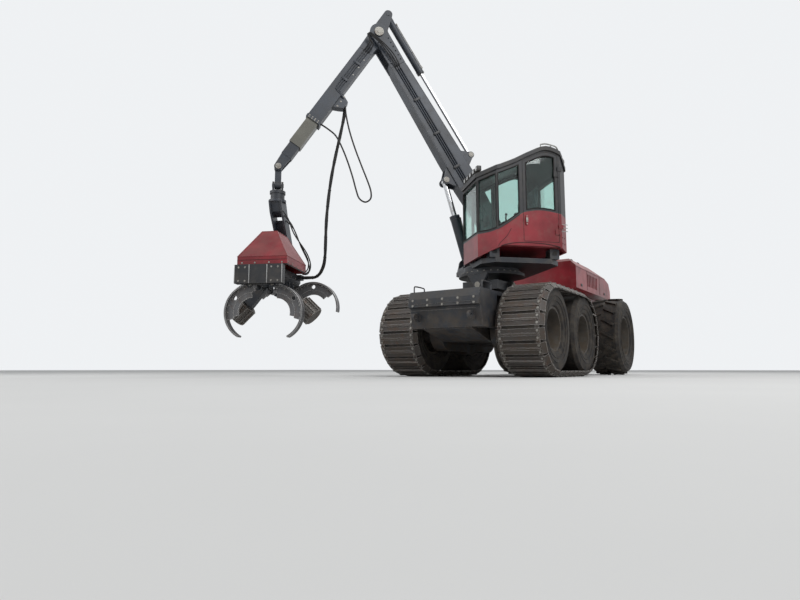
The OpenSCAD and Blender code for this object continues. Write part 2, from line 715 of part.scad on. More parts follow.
module main_boom() color("#2a323d") on_boom() {
    difference() {
        union() {
            side_plate(boom_w) {
                circle(150);
                polygon([[0, -150], [1100, -205], [1700, -200], [boom_l - 800, -150], [boom_l - 600, -130],
                    [boom_l - 600, 130], [boom_l - 800, 150], [1700, 200], [1100, 205], [0, 150]]);
            }
            // plates that carry the elbow
            both_sides() side_plate(38, boom_w / 2 - 19) {
                translate([boom_l, 0]) circle(170);
                polygon([[boom_l - 700, -145], [boom_l - 60, -155], [boom_l, -170], [boom_l, 170],
                    [boom_l - 60, 155], [boom_l - 700, 145]]);
            }
            // ears on top for the outer boom's cylinder
            both_sides() side_plate(30, 70) {
                translate([boom_l - jib_eye_back, horn_pin[1]]) circle(62);
                polygon([[boom_l - jib_eye_back - 200, 170], [boom_l - jib_eye_back + 200, 170],
                    [boom_l - jib_eye_back + 62, horn_pin[1]], [boom_l - jib_eye_back - 62, horn_pin[1]]]);
            }
            // ears underneath for the lift cylinder
            both_sides() side_plate(34, 112) {
                translate(lift_at) circle(72);
                polygon([[lift_at[0] - 230, -180], [lift_at[0] - 72, lift_at[1]], [lift_at[0] + 72, lift_at[1]],
                    [lift_at[0] + 230, -180]]);
            }
            pin_y(pin_r, 2 * post_gap + 60);
            pin_y(pin_r, boom_w + 20, [boom_l, 0]);
        }
        pin_y(small_pin_r + 4, boom_w, [boom_l - jib_eye_back, horn_pin[1]]);
        pin_y(small_pin_r + 4, boom_w, lift_at);
    }
}

// a cylinder's barrel along +x from its eye, and its rod back from its own eye
module barrel(r, r_rod, l, eye_w, neck) {
    difference() {
        union() {
            pin_y(62, eye_w);
            translate([0, -eye_w / 2 + 2, -45]) cube([neck + 20, eye_w - 4, 90]);
            translate([neck, 0, 0]) rotate([0, 90, 0]) cylinder(r = r, h = l - neck);
            translate([l - 70, 0, 0]) rotate([0, 90, 0]) cylinder(r = r + 4, h = 70);
        }
        pin_y(small_pin_r + run_gap, eye_w + 40);
        translate([neck + 10, 0, 0]) rotate([0, 90, 0]) cylinder(r = r_rod + run_gap, h = l);
    }
}
module rod(r, l, eye_w) {
    pin_y(50, eye_w);
    pin_y(small_pin_r, eye_w + 12);
    translate([40, 0, 0]) rotate([0, 90, 0]) cylinder(r = r, h = l - 40);
}

lift_barrel_l = 925;
lift_rod_from = 672;
module on_lift() on_crane()
    translate([lift_foot[0], 0, lift_foot[1]]) rotate([0, -lift_angle, 0]) children();
module lift_barrel() color("#20242b") on_lift() {
    barrel(lift_barrel_r, 50, lift_barrel_l, 2 * lift_barrel_r - 20, 100);
    pin_y(small_pin_r, 2 * post_gap + 60);
}
module lift_rod() color("#c9ccd0") on_lift() translate([lift_len, 0, 0]) rotate([0, 180, 0])
    rod(50, lift_len - lift_rod_from, 2 * 95 - 16);

jib_barrel_l = 1250;
jib_rod_from = 760;
jib_len = horn_pin[0] + jib_eye_back;
module on_jib() on_boom() translate([boom_l + horn_pin[0], 0, horn_pin[1]]) rotate([0, 180, 0]) children();
module jib_barrel() color("#20242b") on_jib() barrel(jib_barrel_r, 34, jib_barrel_l, 2 * jib_barrel_r, 110);
module jib_rod() color("#c9ccd0") on_jib() translate([jib_len, 0, 0]) rotate([0, 180, 0])
    rod(34, jib_len - jib_rod_from, 2 * 55 - 14);

box_from = 450;
box_to = 2150;
module tube_box(l, w, h, wall, pad = 0) {
    difference() {
        union() {
            translate([0, -w / 2, -h / 2]) cube([l, w, h]);
            if (pad > 0) translate([20, -w * 0.3, -h / 2 - pad]) cube([120, w * 0.6, h + 2 * pad]);
        }
        translate([-10, -w / 2 + wall, -h / 2 + wall]) cube([l + 20, w - 2 * wall, h - 2 * wall]);
    }
}
inner_w = sleeve_w - 2 * (section_wall + section_gap);
inner_h = sleeve_h - 2 * (section_wall + section_gap);
tip_w = inner_w - 2 * (section_wall + section_gap);
tip_h = inner_h - 2 * (section_wall + section_gap);

module outer_boom() color("#2a323d") on_outer() {
    horn_turn = horn_at + jib_fold;
    horn = [horn_r * cos(horn_turn), horn_r * sin(horn_turn)];
    difference() {
        union() {
            side_plate(2 * 106) {
                circle(150);
                polygon([[0, -150], [box_from + 30, -sleeve_h / 2], [box_from + 30, sleeve_h / 2], [0, 150]]);
            }
            both_sides() side_plate(32, 90) {
                translate(horn) circle(78);
                polygon([horn + [0, 78], [60, 148], [0, -148], horn - [20, 78]]);
            }
            translate([box_from, 0, 0]) tube_box(box_to - box_from, sleeve_w, sleeve_h, section_wall);
            translate([box_to - 60, -sleeve_w / 2 - 12, -sleeve_h / 2 - 12]) difference() {
                cube([60, sleeve_w + 24, sleeve_h + 24]);
                translate([-5, 13, 13]) cube([70, sleeve_w - 2, sleeve_h - 2]);
            }
            // hose bracket under the sleeve
            side_plate(160) polygon([[1380, -sleeve_h / 2 + 2], [1700, -sleeve_h / 2 + 2], [1640, -240],
                [1600, -300], [1460, -300], [1430, -240]]);
            pin_y(small_pin_r, 2 * 116, horn);
        }
        pin_y(pin_r + run_gap, 300);
        pin_y(60, 2 * 73, horn);
    }
    pin_y(small_pin_r, 2 * 106, horn);
}

inner_from = 800;
inner_to = 2700;
module extension_inner() color("#76766a") on_outer() translate([inner_from, 0, 0])
    tube_box(inner_to - inner_from, inner_w, inner_h, section_wall, section_gap - run_gap);

tip_from = 1150;
tip_fork = 240;
module extension_tip() color("#2a323d") on_outer() {
    translate([tip_from, 0, 0])
        tube_box(outer_l - tip_fork - 50 - tip_from, tip_w, tip_h, section_wall, section_gap - run_gap);
    difference() {
        union() {
            both_sides() side_plate(30, 60) {
                translate([outer_l, 0]) circle(72);
                polygon([[outer_l - tip_fork - 60, -tip_h / 2], [outer_l, -72], [outer_l, 72],
                    [outer_l - tip_fork - 60, tip_h / 2]]);
            }
            translate([outer_l - tip_fork - 60, -tip_w / 2, -tip_h / 2]) cube([60, tip_w, tip_h]);
        }
        pin_y(small_pin_r + run_gap, 300, [outer_l, 0]);
    }
}

module tip_link() color("#20242b") on_crane() {
    pin_y(small_pin_r, 2 * 88, tip);
    side_plate(80) {
        translate(tip) circle(70);
        translate([tip[0] - 55, tip[1] - link_drop + 10]) square([110, link_drop - 10]);
    }
    pin_x(65, 110, [0, tip[1] - link_drop], tip[0]);
    pin_x(small_pin_r, 200, [0, tip[1] - link_drop], tip[0]);
}

module rotator() color("#2c3036") on_crane() {
    difference() {
        for (s = [-1, 1]) cross_plate(34, tip[0] + s * 77) {
            translate([0, tip[1] - link_drop]) circle(70);
            translate([-70, tip[1] - link_drop - 120]) square([140, 120]);
        }
        pin_x(small_pin_r + run_gap, 300, [0, tip[1] - link_drop], tip[0]);
    }
    translate([tip[0], 0, tip[1] - link_drop - 160]) cylinder(r = 135, h = 50);
    translate([tip[0], 0, tip[1] - rotor_drop]) cylinder(r = 120, h = rotor_drop - link_drop - 120);
}

module head_bracket() color("#23272e") on_bracket() {
    top = tip[1] - rotor_drop - run_gap;
    foot = -tilt_back - head_balance;
    translate([0, 0, top - 40]) cylinder(r = 150, h = 40);
    difference() {
        both_sides() side_plate(30, 100) {
            polygon([[-130, top - 30], [130, top - 30], [60, top - 220], [foot + 130, tilt_z + 330],
                [foot + 88, tilt_z], [foot - 88, tilt_z], [foot - 60, tilt_z + 360], [-220, top - 240]]);
            translate([foot, tilt_z]) circle(88);
        }
        pin_y(small_pin_r + run_gap, 400, [foot, tilt_z]);
    }
    side_plate(180) polygon([[-110, top - 35], [100, top - 35], [30, top - 200], [-150, top - 260]]);
    side_plate(180) polygon([[foot + 40, tilt_z + 420], [foot + 110, tilt_z + 420], [-210, top - 300],
        [-280, top - 300]]);
}

// head: a channel open below, with the hinge lugs of its knives and roller arms
head_back = -500;
head_front = 700;
knife_l = 140;
front_knife_x = [450, 605];
rear_knife_x = [-400, -245];
arm_x = 100;
arm_l = 110;
module head_lug(x, l) {
    cross_plate(l, x) {
        translate([knife_y, knife_z]) circle(62);
        polygon([[knife_y - 62, knife_z], [knife_y + 62, knife_z], [knife_y + 40, knife_z + 140],
            [knife_y - 60, knife_z + 140]]);
    }
}
module head_frame() color("#262a31") on_head() {
    top = tilt_z - 95;
    under = knife_z + 105;
    cross_plate(head_front - head_back, (head_front + head_back) / 2)
        polygon([[-250, top], [250, top], [250, under + 70], [205, under], [130, under], [90, under + 60],
            [-90, under + 60], [-130, under], [-205, under], [-250, under + 70]]);
    both_sides() side_plate(50, 45) {
        translate([-tilt_back, tilt_z]) circle(85);
        polygon([[-tilt_back - 80, top - 10], [-tilt_back + 140, top - 10], [-tilt_back + 70, tilt_z + 30],
            [-tilt_back - 80, tilt_z]]);
    }
    pin_y(small_pin_r, 2 * 118, [-tilt_back, tilt_z]);
    both_sides()
        pin_x(knife_pin_r, head_front - head_back - 40, [knife_y, knife_z], (head_front + head_back) / 2);
    both_sides() for (x = [-484, -163, 35, 165, 367, 688]) head_lug(x, 12);
    // block where the hoses enter
    translate([-440, 249, top - 95]) cube([140, 81, 90]);
}

module head_cover() color("#a32226") on_head() {
    low = tilt_z - 95;
    brim = tilt_z + 55;
    peak = tilt_z + 535;
    difference() {
        intersection() {
            cross_plate(1200, 200)
                polygon([[-425, low], [-425, brim], [-130, peak], [130, peak], [425, brim], [425, low]]);
            side_plate(1000)
                polygon([[-260, low], [-260, brim], [-90, peak], [400, peak], [690, brim], [690, low]]);
        }
        intersection() {
            cross_plate(1200, 200) polygon([[cover_wall - 425, low - 5], [cover_wall - 425, brim], [-126, peak - cover_wall],
                [126, peak - cover_wall], [425 - cover_wall, brim], [425 - cover_wall, low - 5]]);
            side_plate(1000) polygon([[cover_wall - 260, low - 5], [cover_wall - 260, brim], [-84, peak - cover_wall],
                [394, peak - cover_wall], [690 - cover_wall, brim], [690 - cover_wall, low - 5]]);
        }
    }
}

saw_x = 770;
saw_pivot = [-320, knife_z + 70];
module saw_box() color("#1c1f24") on_head() {
    difference() {
        translate([head_front, -400, knife_z - 10]) cube([135, 800, 305]);
        translate([head_front + 12, -392, knife_z - 20]) cube([115, 784, 300]);
    }
    pin_x(40, 124, saw_pivot, head_front + 70);
}
module saw_bar() color("#b9bcc0") on_head() difference() {
    cross_plate(10, saw_x) {
        translate(saw_pivot) circle(62);
        translate([saw_pivot[0], saw_pivot[1] - 45]) square([630, 90]);
        translate([saw_pivot[0] + 630, saw_pivot[1]]) circle(45);
    }
    pin_x(40 + run_gap, 40, saw_pivot, saw_x);
}

// knife drawn round its hinge: a curved blade on a web plate
module knife(x) {
    centre = [-80, -sqrt(knife_r * knife_r - 6400)];
    far = 900;
    difference() {
        union() {
            cross_plate(knife_l, x) {
                circle(56);
                intersection() {
                    translate(centre) ring(knife_r + 14, knife_r - 14);
                    translate(centre) polygon([[0, 0], [far * cos(-70), far * sin(-70)], [far, -far], [far, far],
                        [far * cos(80), far * sin(80)]]);
                }
            }
            cross_plate(40, x) intersection() {
                translate(centre) ring(knife_r, knife_r - 130);
                translate(centre) polygon([[0, 0], [far * cos(-25), far * sin(-25)], [far, far],
                    [far * cos(82), far * sin(82)]]);
            }
        }
        pin_x(knife_pin_r + run_gap, knife_l + 20, [0, 0], x);
        pin_x(35, 100, centre + (knife_r - 70) * [cos(30), sin(30)], x);
    }
}
module knife_at(side, x, open) color("#4a4e54") on_head() mirror([0, side > 0 ? 0 : 1, 0])
    translate([0, knife_y, knife_z]) rotate([open, 0, 0]) knife(x);
module front_knife_left() knife_at(1, front_knife_x[0], front_open);
module front_knife_right() knife_at(-1, front_knife_x[1], front_open);
module rear_knife_left() knife_at(1, rear_knife_x[0], rear_open);
module rear_knife_right() knife_at(-1, rear_knife_x[1], rear_open);

arm_reach = 395;
module on_arm(side) on_head() mirror([0, side > 0 ? 0 : 1, 0]) translate([arm_x, knife_y, knife_z])
    rotate([roller_open, 0, 0]) children();
module roller_arm(side) color("#2c3036") on_arm(side) {
    difference() {
        cross_plate(arm_l) {
            circle(56);
            polygon([[-56, 0], [56, 0], [95, -arm_reach + 40], [95, -arm_reach], [-95, -arm_reach],
                [-95, -arm_reach + 40]]);
        }
        pin_x(knife_pin_r + run_gap, arm_l + 20);
    }
    translate([0, 0, -arm_reach - 200]) cylinder(r = 40, h = 205);
}
module roller_arm_left() roller_arm(1);
module roller_arm_right() roller_arm(-1);
module feed_roller(side) color("#6b6e72") on_arm(side) translate([0, 0, -arm_reach - 5 - roller_l]) {
    difference() {
        union() {
            cylinder(r = roller_r - 22, h = roller_l);
            for (i = [0 : 11]) rotate([0, 0, i * 30]) translate([roller_r - 30, -9, 12]) cube([30, 18, roller_l - 24]);
        }
        translate([0, 0, roller_l - 198]) cylinder(r = 40 + run_gap, h = 300);
    }
}
module feed_roller_left() feed_roller(1);
module feed_roller_right() feed_roller(-1);

// hoses: points along the crane's plane, forward, left of it, and up
bundle_route = [[2551, -30, 4868], [2575, -30, 4650], [2640, -30, 4300], [2710, -35, 3950], [2770, -45, 3600],
    [2815, -55, 3250], [2845, -65, 2900], [2858, -80, 2600], [2862, -95, 2320], [2866, -115, 2120],
    [2885, -145, 1960], [2940, -185, 1825], [3020, -232, 1755], [3127, -269, 1744], [3249, -313.5, 1744]];
loop_route = [[2551, 45, 4868], [2535, 48, 4700], [2470, 55, 4400], [2370, 65, 4080], [2250, 75, 3760],
    [2140, 85, 3480], [2080, 95, 3290], [2085, 102, 3150], [2180, 108, 3080], [2290, 110, 3140],
    [2350, 110, 3300], [2410, 108, 3520], [2500, 100, 3800], [2610, 85, 4080], [2720, 65, 4290],
    [2850, 40, 4410], [2984, 30, 4497]];

function unit(v) = v / norm(v);
function along(p, i) = unit(p[min(i + 1, len(p) - 1)] - p[max(i - 1, 0)]);
function ring_points(c, t, r, n) = let (u = unit(cross(t, [0, 1, 0])), v = cross(t, u))
    [for (k = [0 : n - 1]) c + r * (cos(k * 360 / n) * u + sin(k * 360 / n) * v)];
module hose(route, r, n) {
    last = len(route) - 1;
    points = [for (i = [0 : last]) for (q = ring_points(route[i], along(route, i), r, n)) q];
    sides = [for (i = [0 : last - 1]) for (k = [0 : n - 1])
        [i * n + k, i * n + (k + 1) % n, (i + 1) * n + (k + 1) % n, (i + 1) * n + k]];
    polyhedron(points, concat([[for (k = [n - 1 : -1 : 0]) k]], sides, [[for (k = [0 : n - 1]) last * n + k]]));
}
bundle_r = 30;
loop_hose_r = 15;
module hose_bundle() color("#15161a") on_crane() hose(bundle_route, bundle_r, 10);
module hose_loop() color("#15161a") on_crane() hose(loop_route, loop_hose_r, 8);

front_frame();
bogie_cases();
bogie_rims();
bogie_tyres();
track_left();
track_right();
rear_frame();
engine();
hood();
rear_tyre_left();
rear_tyre_right();
rear_rim_left();
rear_rim_right();
level_cross();
slew_base();
platform();
crane_post();
cab_body();
cab_frame();
cab_roof();
cab_glass();
seat_base();
seat_cushion();
work_lamps();
cab_door();
door_glass();
main_boom();
lift_barrel();
lift_rod();
jib_barrel();
jib_rod();
outer_boom();
extension_inner();
extension_tip();
tip_link();
rotator();
head_bracket();
head_frame();
head_cover();
saw_box();
front_knife_left();
front_knife_right();
rear_knife_left();
rear_knife_right();
roller_arm_left();
roller_arm_right();
feed_roller_left();
feed_roller_right();
saw_bar();
hose_bundle();
hose_loop();
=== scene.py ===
import json
import math
import bpy
import bmesh
from mathutils import Matrix, Vector
from mathutils.bvhtree import BVHTree


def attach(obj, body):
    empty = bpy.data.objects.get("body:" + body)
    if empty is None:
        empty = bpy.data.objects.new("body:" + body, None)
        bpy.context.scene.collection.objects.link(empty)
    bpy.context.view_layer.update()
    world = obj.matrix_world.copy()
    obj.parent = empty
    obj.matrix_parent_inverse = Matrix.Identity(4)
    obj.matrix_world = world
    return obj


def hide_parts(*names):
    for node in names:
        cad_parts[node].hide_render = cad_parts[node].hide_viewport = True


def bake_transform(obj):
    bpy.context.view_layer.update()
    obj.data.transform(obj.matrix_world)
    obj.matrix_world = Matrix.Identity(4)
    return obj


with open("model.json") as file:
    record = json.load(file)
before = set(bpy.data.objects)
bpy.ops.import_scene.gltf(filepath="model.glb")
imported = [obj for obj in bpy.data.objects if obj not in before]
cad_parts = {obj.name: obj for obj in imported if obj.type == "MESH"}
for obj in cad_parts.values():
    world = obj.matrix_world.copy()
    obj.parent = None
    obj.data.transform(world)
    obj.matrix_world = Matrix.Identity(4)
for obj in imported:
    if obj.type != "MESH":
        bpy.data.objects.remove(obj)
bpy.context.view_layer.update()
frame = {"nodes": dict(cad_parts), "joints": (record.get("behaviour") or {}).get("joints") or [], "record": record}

nodes = frame["nodes"]
joints = {joint["name"]: joint for joint in frame["joints"]}
print("frame loaded:", len(nodes), "parts")

# camera, at knee height ahead of the machine and to its left, looking up at it
view = {
    "eye": (10.046, 5.532, 0.12),
    "heading": (-0.829, -0.559),
    "upDeg": 6.9,
    "lensMm": 25.7,
}


def makeCamera():
    camera = bpy.data.objects.new("camera", bpy.data.cameras.new("camera"))
    bpy.context.scene.collection.objects.link(camera)
    up = math.radians(view["upDeg"])
    look = Vector((view["heading"][0] * math.cos(up), view["heading"][1] * math.cos(up), math.sin(up)))
    camera.location = view["eye"]
    camera.rotation_euler = look.to_track_quat("-Z", "Y").to_euler()
    camera.data.lens = view["lensMm"]
    camera.data.sensor_width = 36
    camera.data.clip_end = 200
    bpy.context.scene.camera = camera


makeCamera()


# places of the bodies, taken from the joints of the frame
def jointAt(name):
    return Vector(joints[name]["pos_m"])


def jointAxis(name):
    return Vector(joints[name]["axis"]).normalized()


def axesAt(origin, along, side):  # x runs along, y to the side
    x = along.normalized()
    y = (side - side.project(x)).normalized()
    place = Matrix((x, y, x.cross(y))).transposed().to_4x4()
    place.translation = origin
    return place


upward = Vector((0, 0, 1))
slewPin, boomPin, elbowPin, tipPin = (jointAt(n) for n in ("slew", "lift", "jib", "link_swing"))
craneSide = jointAxis("lift")
platformAt = axesAt(Vector((slewPin.x, slewPin.y, 0)), craneSide.cross(upward), craneSide)
chassisAt = Matrix.Translation((slewPin.x, slewPin.y, 0))
rearAt = Matrix.Translation((jointAt("steer").x, slewPin.y, 0))
craneAt = platformAt @ Matrix.Translation((0, (boomPin - slewPin).dot(craneSide), 0))
boomAt = axesAt(boomPin, elbowPin - boomPin, craneSide)
outerAt = axesAt(elbowPin, tipPin - elbowPin, craneSide)
headSide = jointAxis("head_tilt")
headAhead = headSide.cross(upward)
tiltPin = jointAt("head_tilt")
headAt = axesAt(Vector((tiltPin.x, tiltPin.y, 0)) + 0.42 * headAhead, headAhead, headSide)
boomLength = (elbowPin - boomPin).length
outerLength = (tipPin - elbowPin).length


# mesh helpers: each piece is gathered in one bmesh and closed with finishPiece
def addBox(mesh, low, high, bevel=0.0):
    low, high = Vector(low), Vector(high)
    made = bmesh.ops.create_cube(mesh, size=1)["verts"]
    for v in made:
        v.co = Vector([(low[k] + high[k]) / 2 + v.co[k] * (high[k] - low[k]) for k in range(3)])
    if bevel:
        edges = list({e for v in made for e in v.link_edges})
        bmesh.ops.bevel(mesh, geom=edges, offset=bevel, segments=2, profile=0.6, affect="EDGES")


def addRod(mesh, start, end, radius, sides=16, endRadius=None):
    start, end = Vector(start), Vector(end)
    turn = (end - start).to_track_quat("Z", "Y").to_matrix().to_4x4()
    turn.translation = (start + end) / 2
    bmesh.ops.create_cone(mesh, cap_ends=True, segments=sides, radius1=radius,
                          radius2=radius if endRadius is None else endRadius,
                          depth=(end - start).length, matrix=turn)


def circle(count, radius, shift=0.0):  # points round a circle, as pairs
    for k in range(count):
        angle = (k + shift) * 2 * math.pi / count
        yield radius * math.cos(angle), radius * math.sin(angle)


def addBolt(mesh, at, facing, radius=0.011, height=0.009):
    at, facing = Vector(at), Vector(facing).normalized()
    addRod(mesh, at - facing * 0.002, at + facing * height * 0.3, radius * 1.5, 12)
    addRod(mesh, at, at + facing * height, radius, 6)


def addBolts(mesh, xs, ys, zs, facing, radius, height=0.009):  # one bolt at each crossing of the rows
    for x in xs:
        for y in ys:
            for z in zs:
                addBolt(mesh, (x, y, z), facing, radius, height)


def addTube(mesh, path, radius, sides=10, closed=False):
    count = len(path)
    rings = []
    normal = None
    for i, point in enumerate(path):
        before = path[i - 1] if i or closed else path[0]
        after = path[(i + 1) % count] if i < count - 1 or closed else path[-1]
        along = (after - before).normalized()
        if normal is None:
            normal = along.cross(Vector((0.13, 0.31, 0.94))).normalized()
        normal = (normal - normal.project(along)).normalized()
        other = along.cross(normal)
        rings.append([mesh.verts.new(point + radius * (math.cos(k * 2 * math.pi / sides) * normal
                                                       + math.sin(k * 2 * math.pi / sides) * other))
                      for k in range(sides)])
    for i in range(count if closed else count - 1):
        low, high = rings[i], rings[(i + 1) % count]
        for k in range(sides):
            mesh.faces.new((low[k], low[(k + 1) % sides], high[(k + 1) % sides], high[k]))
    if not closed:
        mesh.faces.new(rings[0][::-1])
        mesh.faces.new(rings[-1])


def addRing(mesh, centre, facing, radius, thick, segments=48, sides=6):
    turn = Vector(facing).to_track_quat("Z", "Y").to_matrix()
    path = [Vector(centre) + turn @ Vector((x, y, 0)) for x, y in circle(segments, radius)]
    addTube(mesh, path, thick, sides, closed=True)


def addSheet(mesh, corners, thick):  # flat plate through the corners, thickened along its normal
    points = [Vector(c) for c in corners]
    normal = (points[1] - points[0]).cross(points[2] - points[0]).normalized()
    front = [mesh.verts.new(p + normal * thick / 2) for p in points]
    back = [mesh.verts.new(p - normal * thick / 2) for p in points]
    mesh.faces.new(front)
    mesh.faces.new(back[::-1])
    for k in range(len(points)):
        n = (k + 1) % len(points)
        mesh.faces.new((front[n], front[k], back[k], back[n]))


def smoothPath(points, parts=4):  # a smooth curve through the points
    points = [Vector(p) for p in points]
    path = []
    for i in range(len(points) - 1):
        a = points[max(i - 1, 0)]
        b, c = points[i], points[i + 1]
        d = points[min(i + 2, len(points) - 1)]
        for k in range(parts):
            t = k / parts
            path.append(0.5 * (2 * b + (c - a) * t + (2 * a - 5 * b + 4 * c - d) * t * t
                               + (3 * b - a - 3 * c + d) * t ** 3))
    path.append(points[-1])
    return path


def pathLength(path):
    return sum((b - a).length for a, b in zip(path, path[1:]))


def finishPiece(mesh, name, material, body=None, place=None, smooth=30, replaces=None):
    if place is not None:
        bmesh.ops.transform(mesh, matrix=place, verts=mesh.verts)
    bmesh.ops.recalc_face_normals(mesh, faces=mesh.faces)
    data = bpy.data.meshes.new(name)
    mesh.to_mesh(data)
    mesh.free()
    data.materials.append(material)
    piece = bpy.data.objects.new(name, data)
    bpy.context.scene.collection.objects.link(piece)
    if smooth:
        data.shade_smooth()
        data.set_sharp_from_angle(angle=math.radians(smooth))
    if body:
        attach(piece, body)
    if replaces:
        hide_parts(replaces)
    return piece


def finishHose(mesh, name, bodies):  # a hose piece, attached to its body when it has only one; one that runs between bodies stays where it is drawn
    rides = bodies[0] if len(bodies) == 1 else None
    piece = finishPiece(mesh, name, paints["hose"], rides, smooth=60)
    if rides is None:
        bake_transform(piece)
    return piece


def makeThinHose(name, points, bodies):
    path = smoothPath(points, 5)
    mesh = bmesh.new()
    addTube(mesh, path, thinHose["radius"], thinHose["sides"])
    finishHose(mesh, name, bodies)


thinHose = {"radius": 0.011, "sides": 10}
sideNames = ((1, "left"), (-1, "right"))


# materials
def newMaterial(name):  # also gives the place that the patterns are laid out on
    material = bpy.data.materials.new(name)
    material.use_nodes = True
    tree = material.node_tree
    where = addNode(tree, "ShaderNodeTexCoord").outputs["Object"]
    return material, tree, tree.nodes["Principled BSDF"], where


def addNode(tree, kind, inputs=None, **settings):
    node = tree.nodes.new(kind)
    for key, value in settings.items():
        setattr(node, key, value)
    for key, value in (inputs or {}).items():
        if isinstance(value, bpy.types.NodeSocket):
            tree.links.new(value, node.inputs[key])
        else:
            node.inputs[key].default_value = value
    return node


def noiseAt(tree, where, scale, detail=4.0, rough=0.6):
    return addNode(tree, "ShaderNodeTexNoise",
                   {"Vector": where, "Scale": scale, "Detail": detail, "Roughness": rough}).outputs["Fac"]


def ramp(tree, value, low, high):  # 0 below low, 1 above high
    node = addNode(tree, "ShaderNodeMapRange", {"Value": value, "From Min": low, "From Max": high})
    node.interpolation_type = "SMOOTHSTEP"
    return node.outputs["Result"]


def times(tree, a, b):
    return addNode(tree, "ShaderNodeMath", {0: a, 1: b}, operation="MULTIPLY").outputs[0]


def plus(tree, a, b):
    return addNode(tree, "ShaderNodeMath", {0: a, 1: b}, operation="ADD", use_clamp=True).outputs[0]


def bands(tree, where, scale, bend=0.0):  # fine ribs
    return addNode(tree, "ShaderNodeTexWave", {"Vector": where, "Scale": scale, "Distortion": bend},
                   wave_type="BANDS").outputs["Fac"]


def linkRoughness(tree, shader, value, low, high):
    node = addNode(tree, "ShaderNodeMapRange", {"Value": value, "To Min": low, "To Max": high})
    tree.links.new(node.outputs["Result"], shader.inputs["Roughness"])


def mixColour(tree, share, a, b):
    node = addNode(tree, "ShaderNodeMix", data_type="RGBA")
    for index, value in ((0, share), (6, a), (7, b)):
        if isinstance(value, bpy.types.NodeSocket):
            tree.links.new(value, node.inputs[index])
        else:
            node.inputs[index].default_value = (*value, 1) if index else value
    return node.outputs[2]


def edgeMask(tree, radius, low=0.93, high=0.80):  # 1 on hard edges
    bevel = addNode(tree, "ShaderNodeBevel", {"Radius": radius}, samples=3)
    normal = addNode(tree, "ShaderNodeNewGeometry").outputs["Normal"]
    dot = addNode(tree, "ShaderNodeVectorMath", {0: bevel.outputs[0], 1: normal}, operation="DOT_PRODUCT")
    return ramp(tree, dot.outputs["Value"], low, high)


def addBump(tree, shader, height, strength, distance):
    bump = addNode(tree, "ShaderNodeBump", {"Height": height, "Strength": strength, "Distance": distance})
    tree.links.new(bump.outputs[0], shader.inputs["Normal"])


def scaled(colour, share, lift=0.0):
    return tuple(min(1.0, c * share + lift) for c in colour)


finishes = {
    "mudTop": 1.5,  # height under which mud clings, in metres
    "dust": (0.16, 0.135, 0.105),
    "mud": (0.085, 0.062, 0.042),
    "bareSteel": (0.42, 0.40, 0.37),
    "brightSteel": (0.62, 0.60, 0.57),
    "rust": (0.13, 0.055, 0.026),
}


def makePaint(name, colour, rough=0.42, wear=0.6, dusty=0.35, muddy=0.0, scratch=0.4, edge=0.006):
    material, tree, shader, where = newMaterial(name)
    fade = noiseAt(tree, where, 1.7)
    fine = noiseAt(tree, where, 38.0, 6.0, 0.7)
    coarse = noiseAt(tree, where, 5.5, 5.0, 0.65)
    shade = mixColour(tree, ramp(tree, fade, 0.35, 0.68), scaled(colour, 0.72), scaled(colour, 1.18, 0.004))
    normal = addNode(tree, "ShaderNodeSeparateXYZ",
                     {0: addNode(tree, "ShaderNodeNewGeometry").outputs["Normal"]}).outputs[2]
    lying = ramp(tree, normal, -0.1, 0.9)
    dustSides = times(tree, ramp(tree, coarse, 0.42, 0.75), dusty)
    dustTop = times(tree, lying, times(tree, ramp(tree, coarse, 0.25, 0.6), dusty * 1.3))
    dust = addNode(tree, "ShaderNodeMath", {0: dustSides, 1: dustTop}, operation="MAXIMUM").outputs[0]
    shade = mixColour(tree, dust, shade, finishes["dust"])
    roughness = plus(tree, times(tree, dust, 0.5), rough)
    if muddy:
        height = addNode(tree, "ShaderNodeSeparateXYZ", {0: where}).outputs[2]
        low = ramp(tree, height, finishes["mudTop"], 0.25)
        patch = ramp(tree, noiseAt(tree, where, 7.0, 8.0, 0.7), 0.38, 0.58)
        mud = times(tree, times(tree, low, patch), muddy)
        shade = mixColour(tree, mud, shade, finishes["mud"])
        roughness = plus(tree, roughness, times(tree, mud, 0.4))
    if wear:
        worn = times(tree, times(tree, edgeMask(tree, edge), ramp(tree, fine, 0.40, 0.56)), wear)
        shade = mixColour(tree, worn, shade, finishes["bareSteel"])
    if scratch:
        streak = addNode(tree, "ShaderNodeMapping", {0: where, 3: (9.0, 9.0, 70.0)}).outputs[0]
        lines = times(tree, ramp(tree, noiseAt(tree, streak, 2.2, 3.0, 0.8), 0.69, 0.76), scratch)
        shade = mixColour(tree, lines, shade, scaled(colour, 1.9, 0.05))
    tree.links.new(shade, shader.inputs["Base Color"])
    tree.links.new(roughness, shader.inputs["Roughness"])
    shader.inputs["Specular IOR Level"].default_value = 0.45
    addBump(tree, shader, fine, 0.12, 0.0015)
    return material


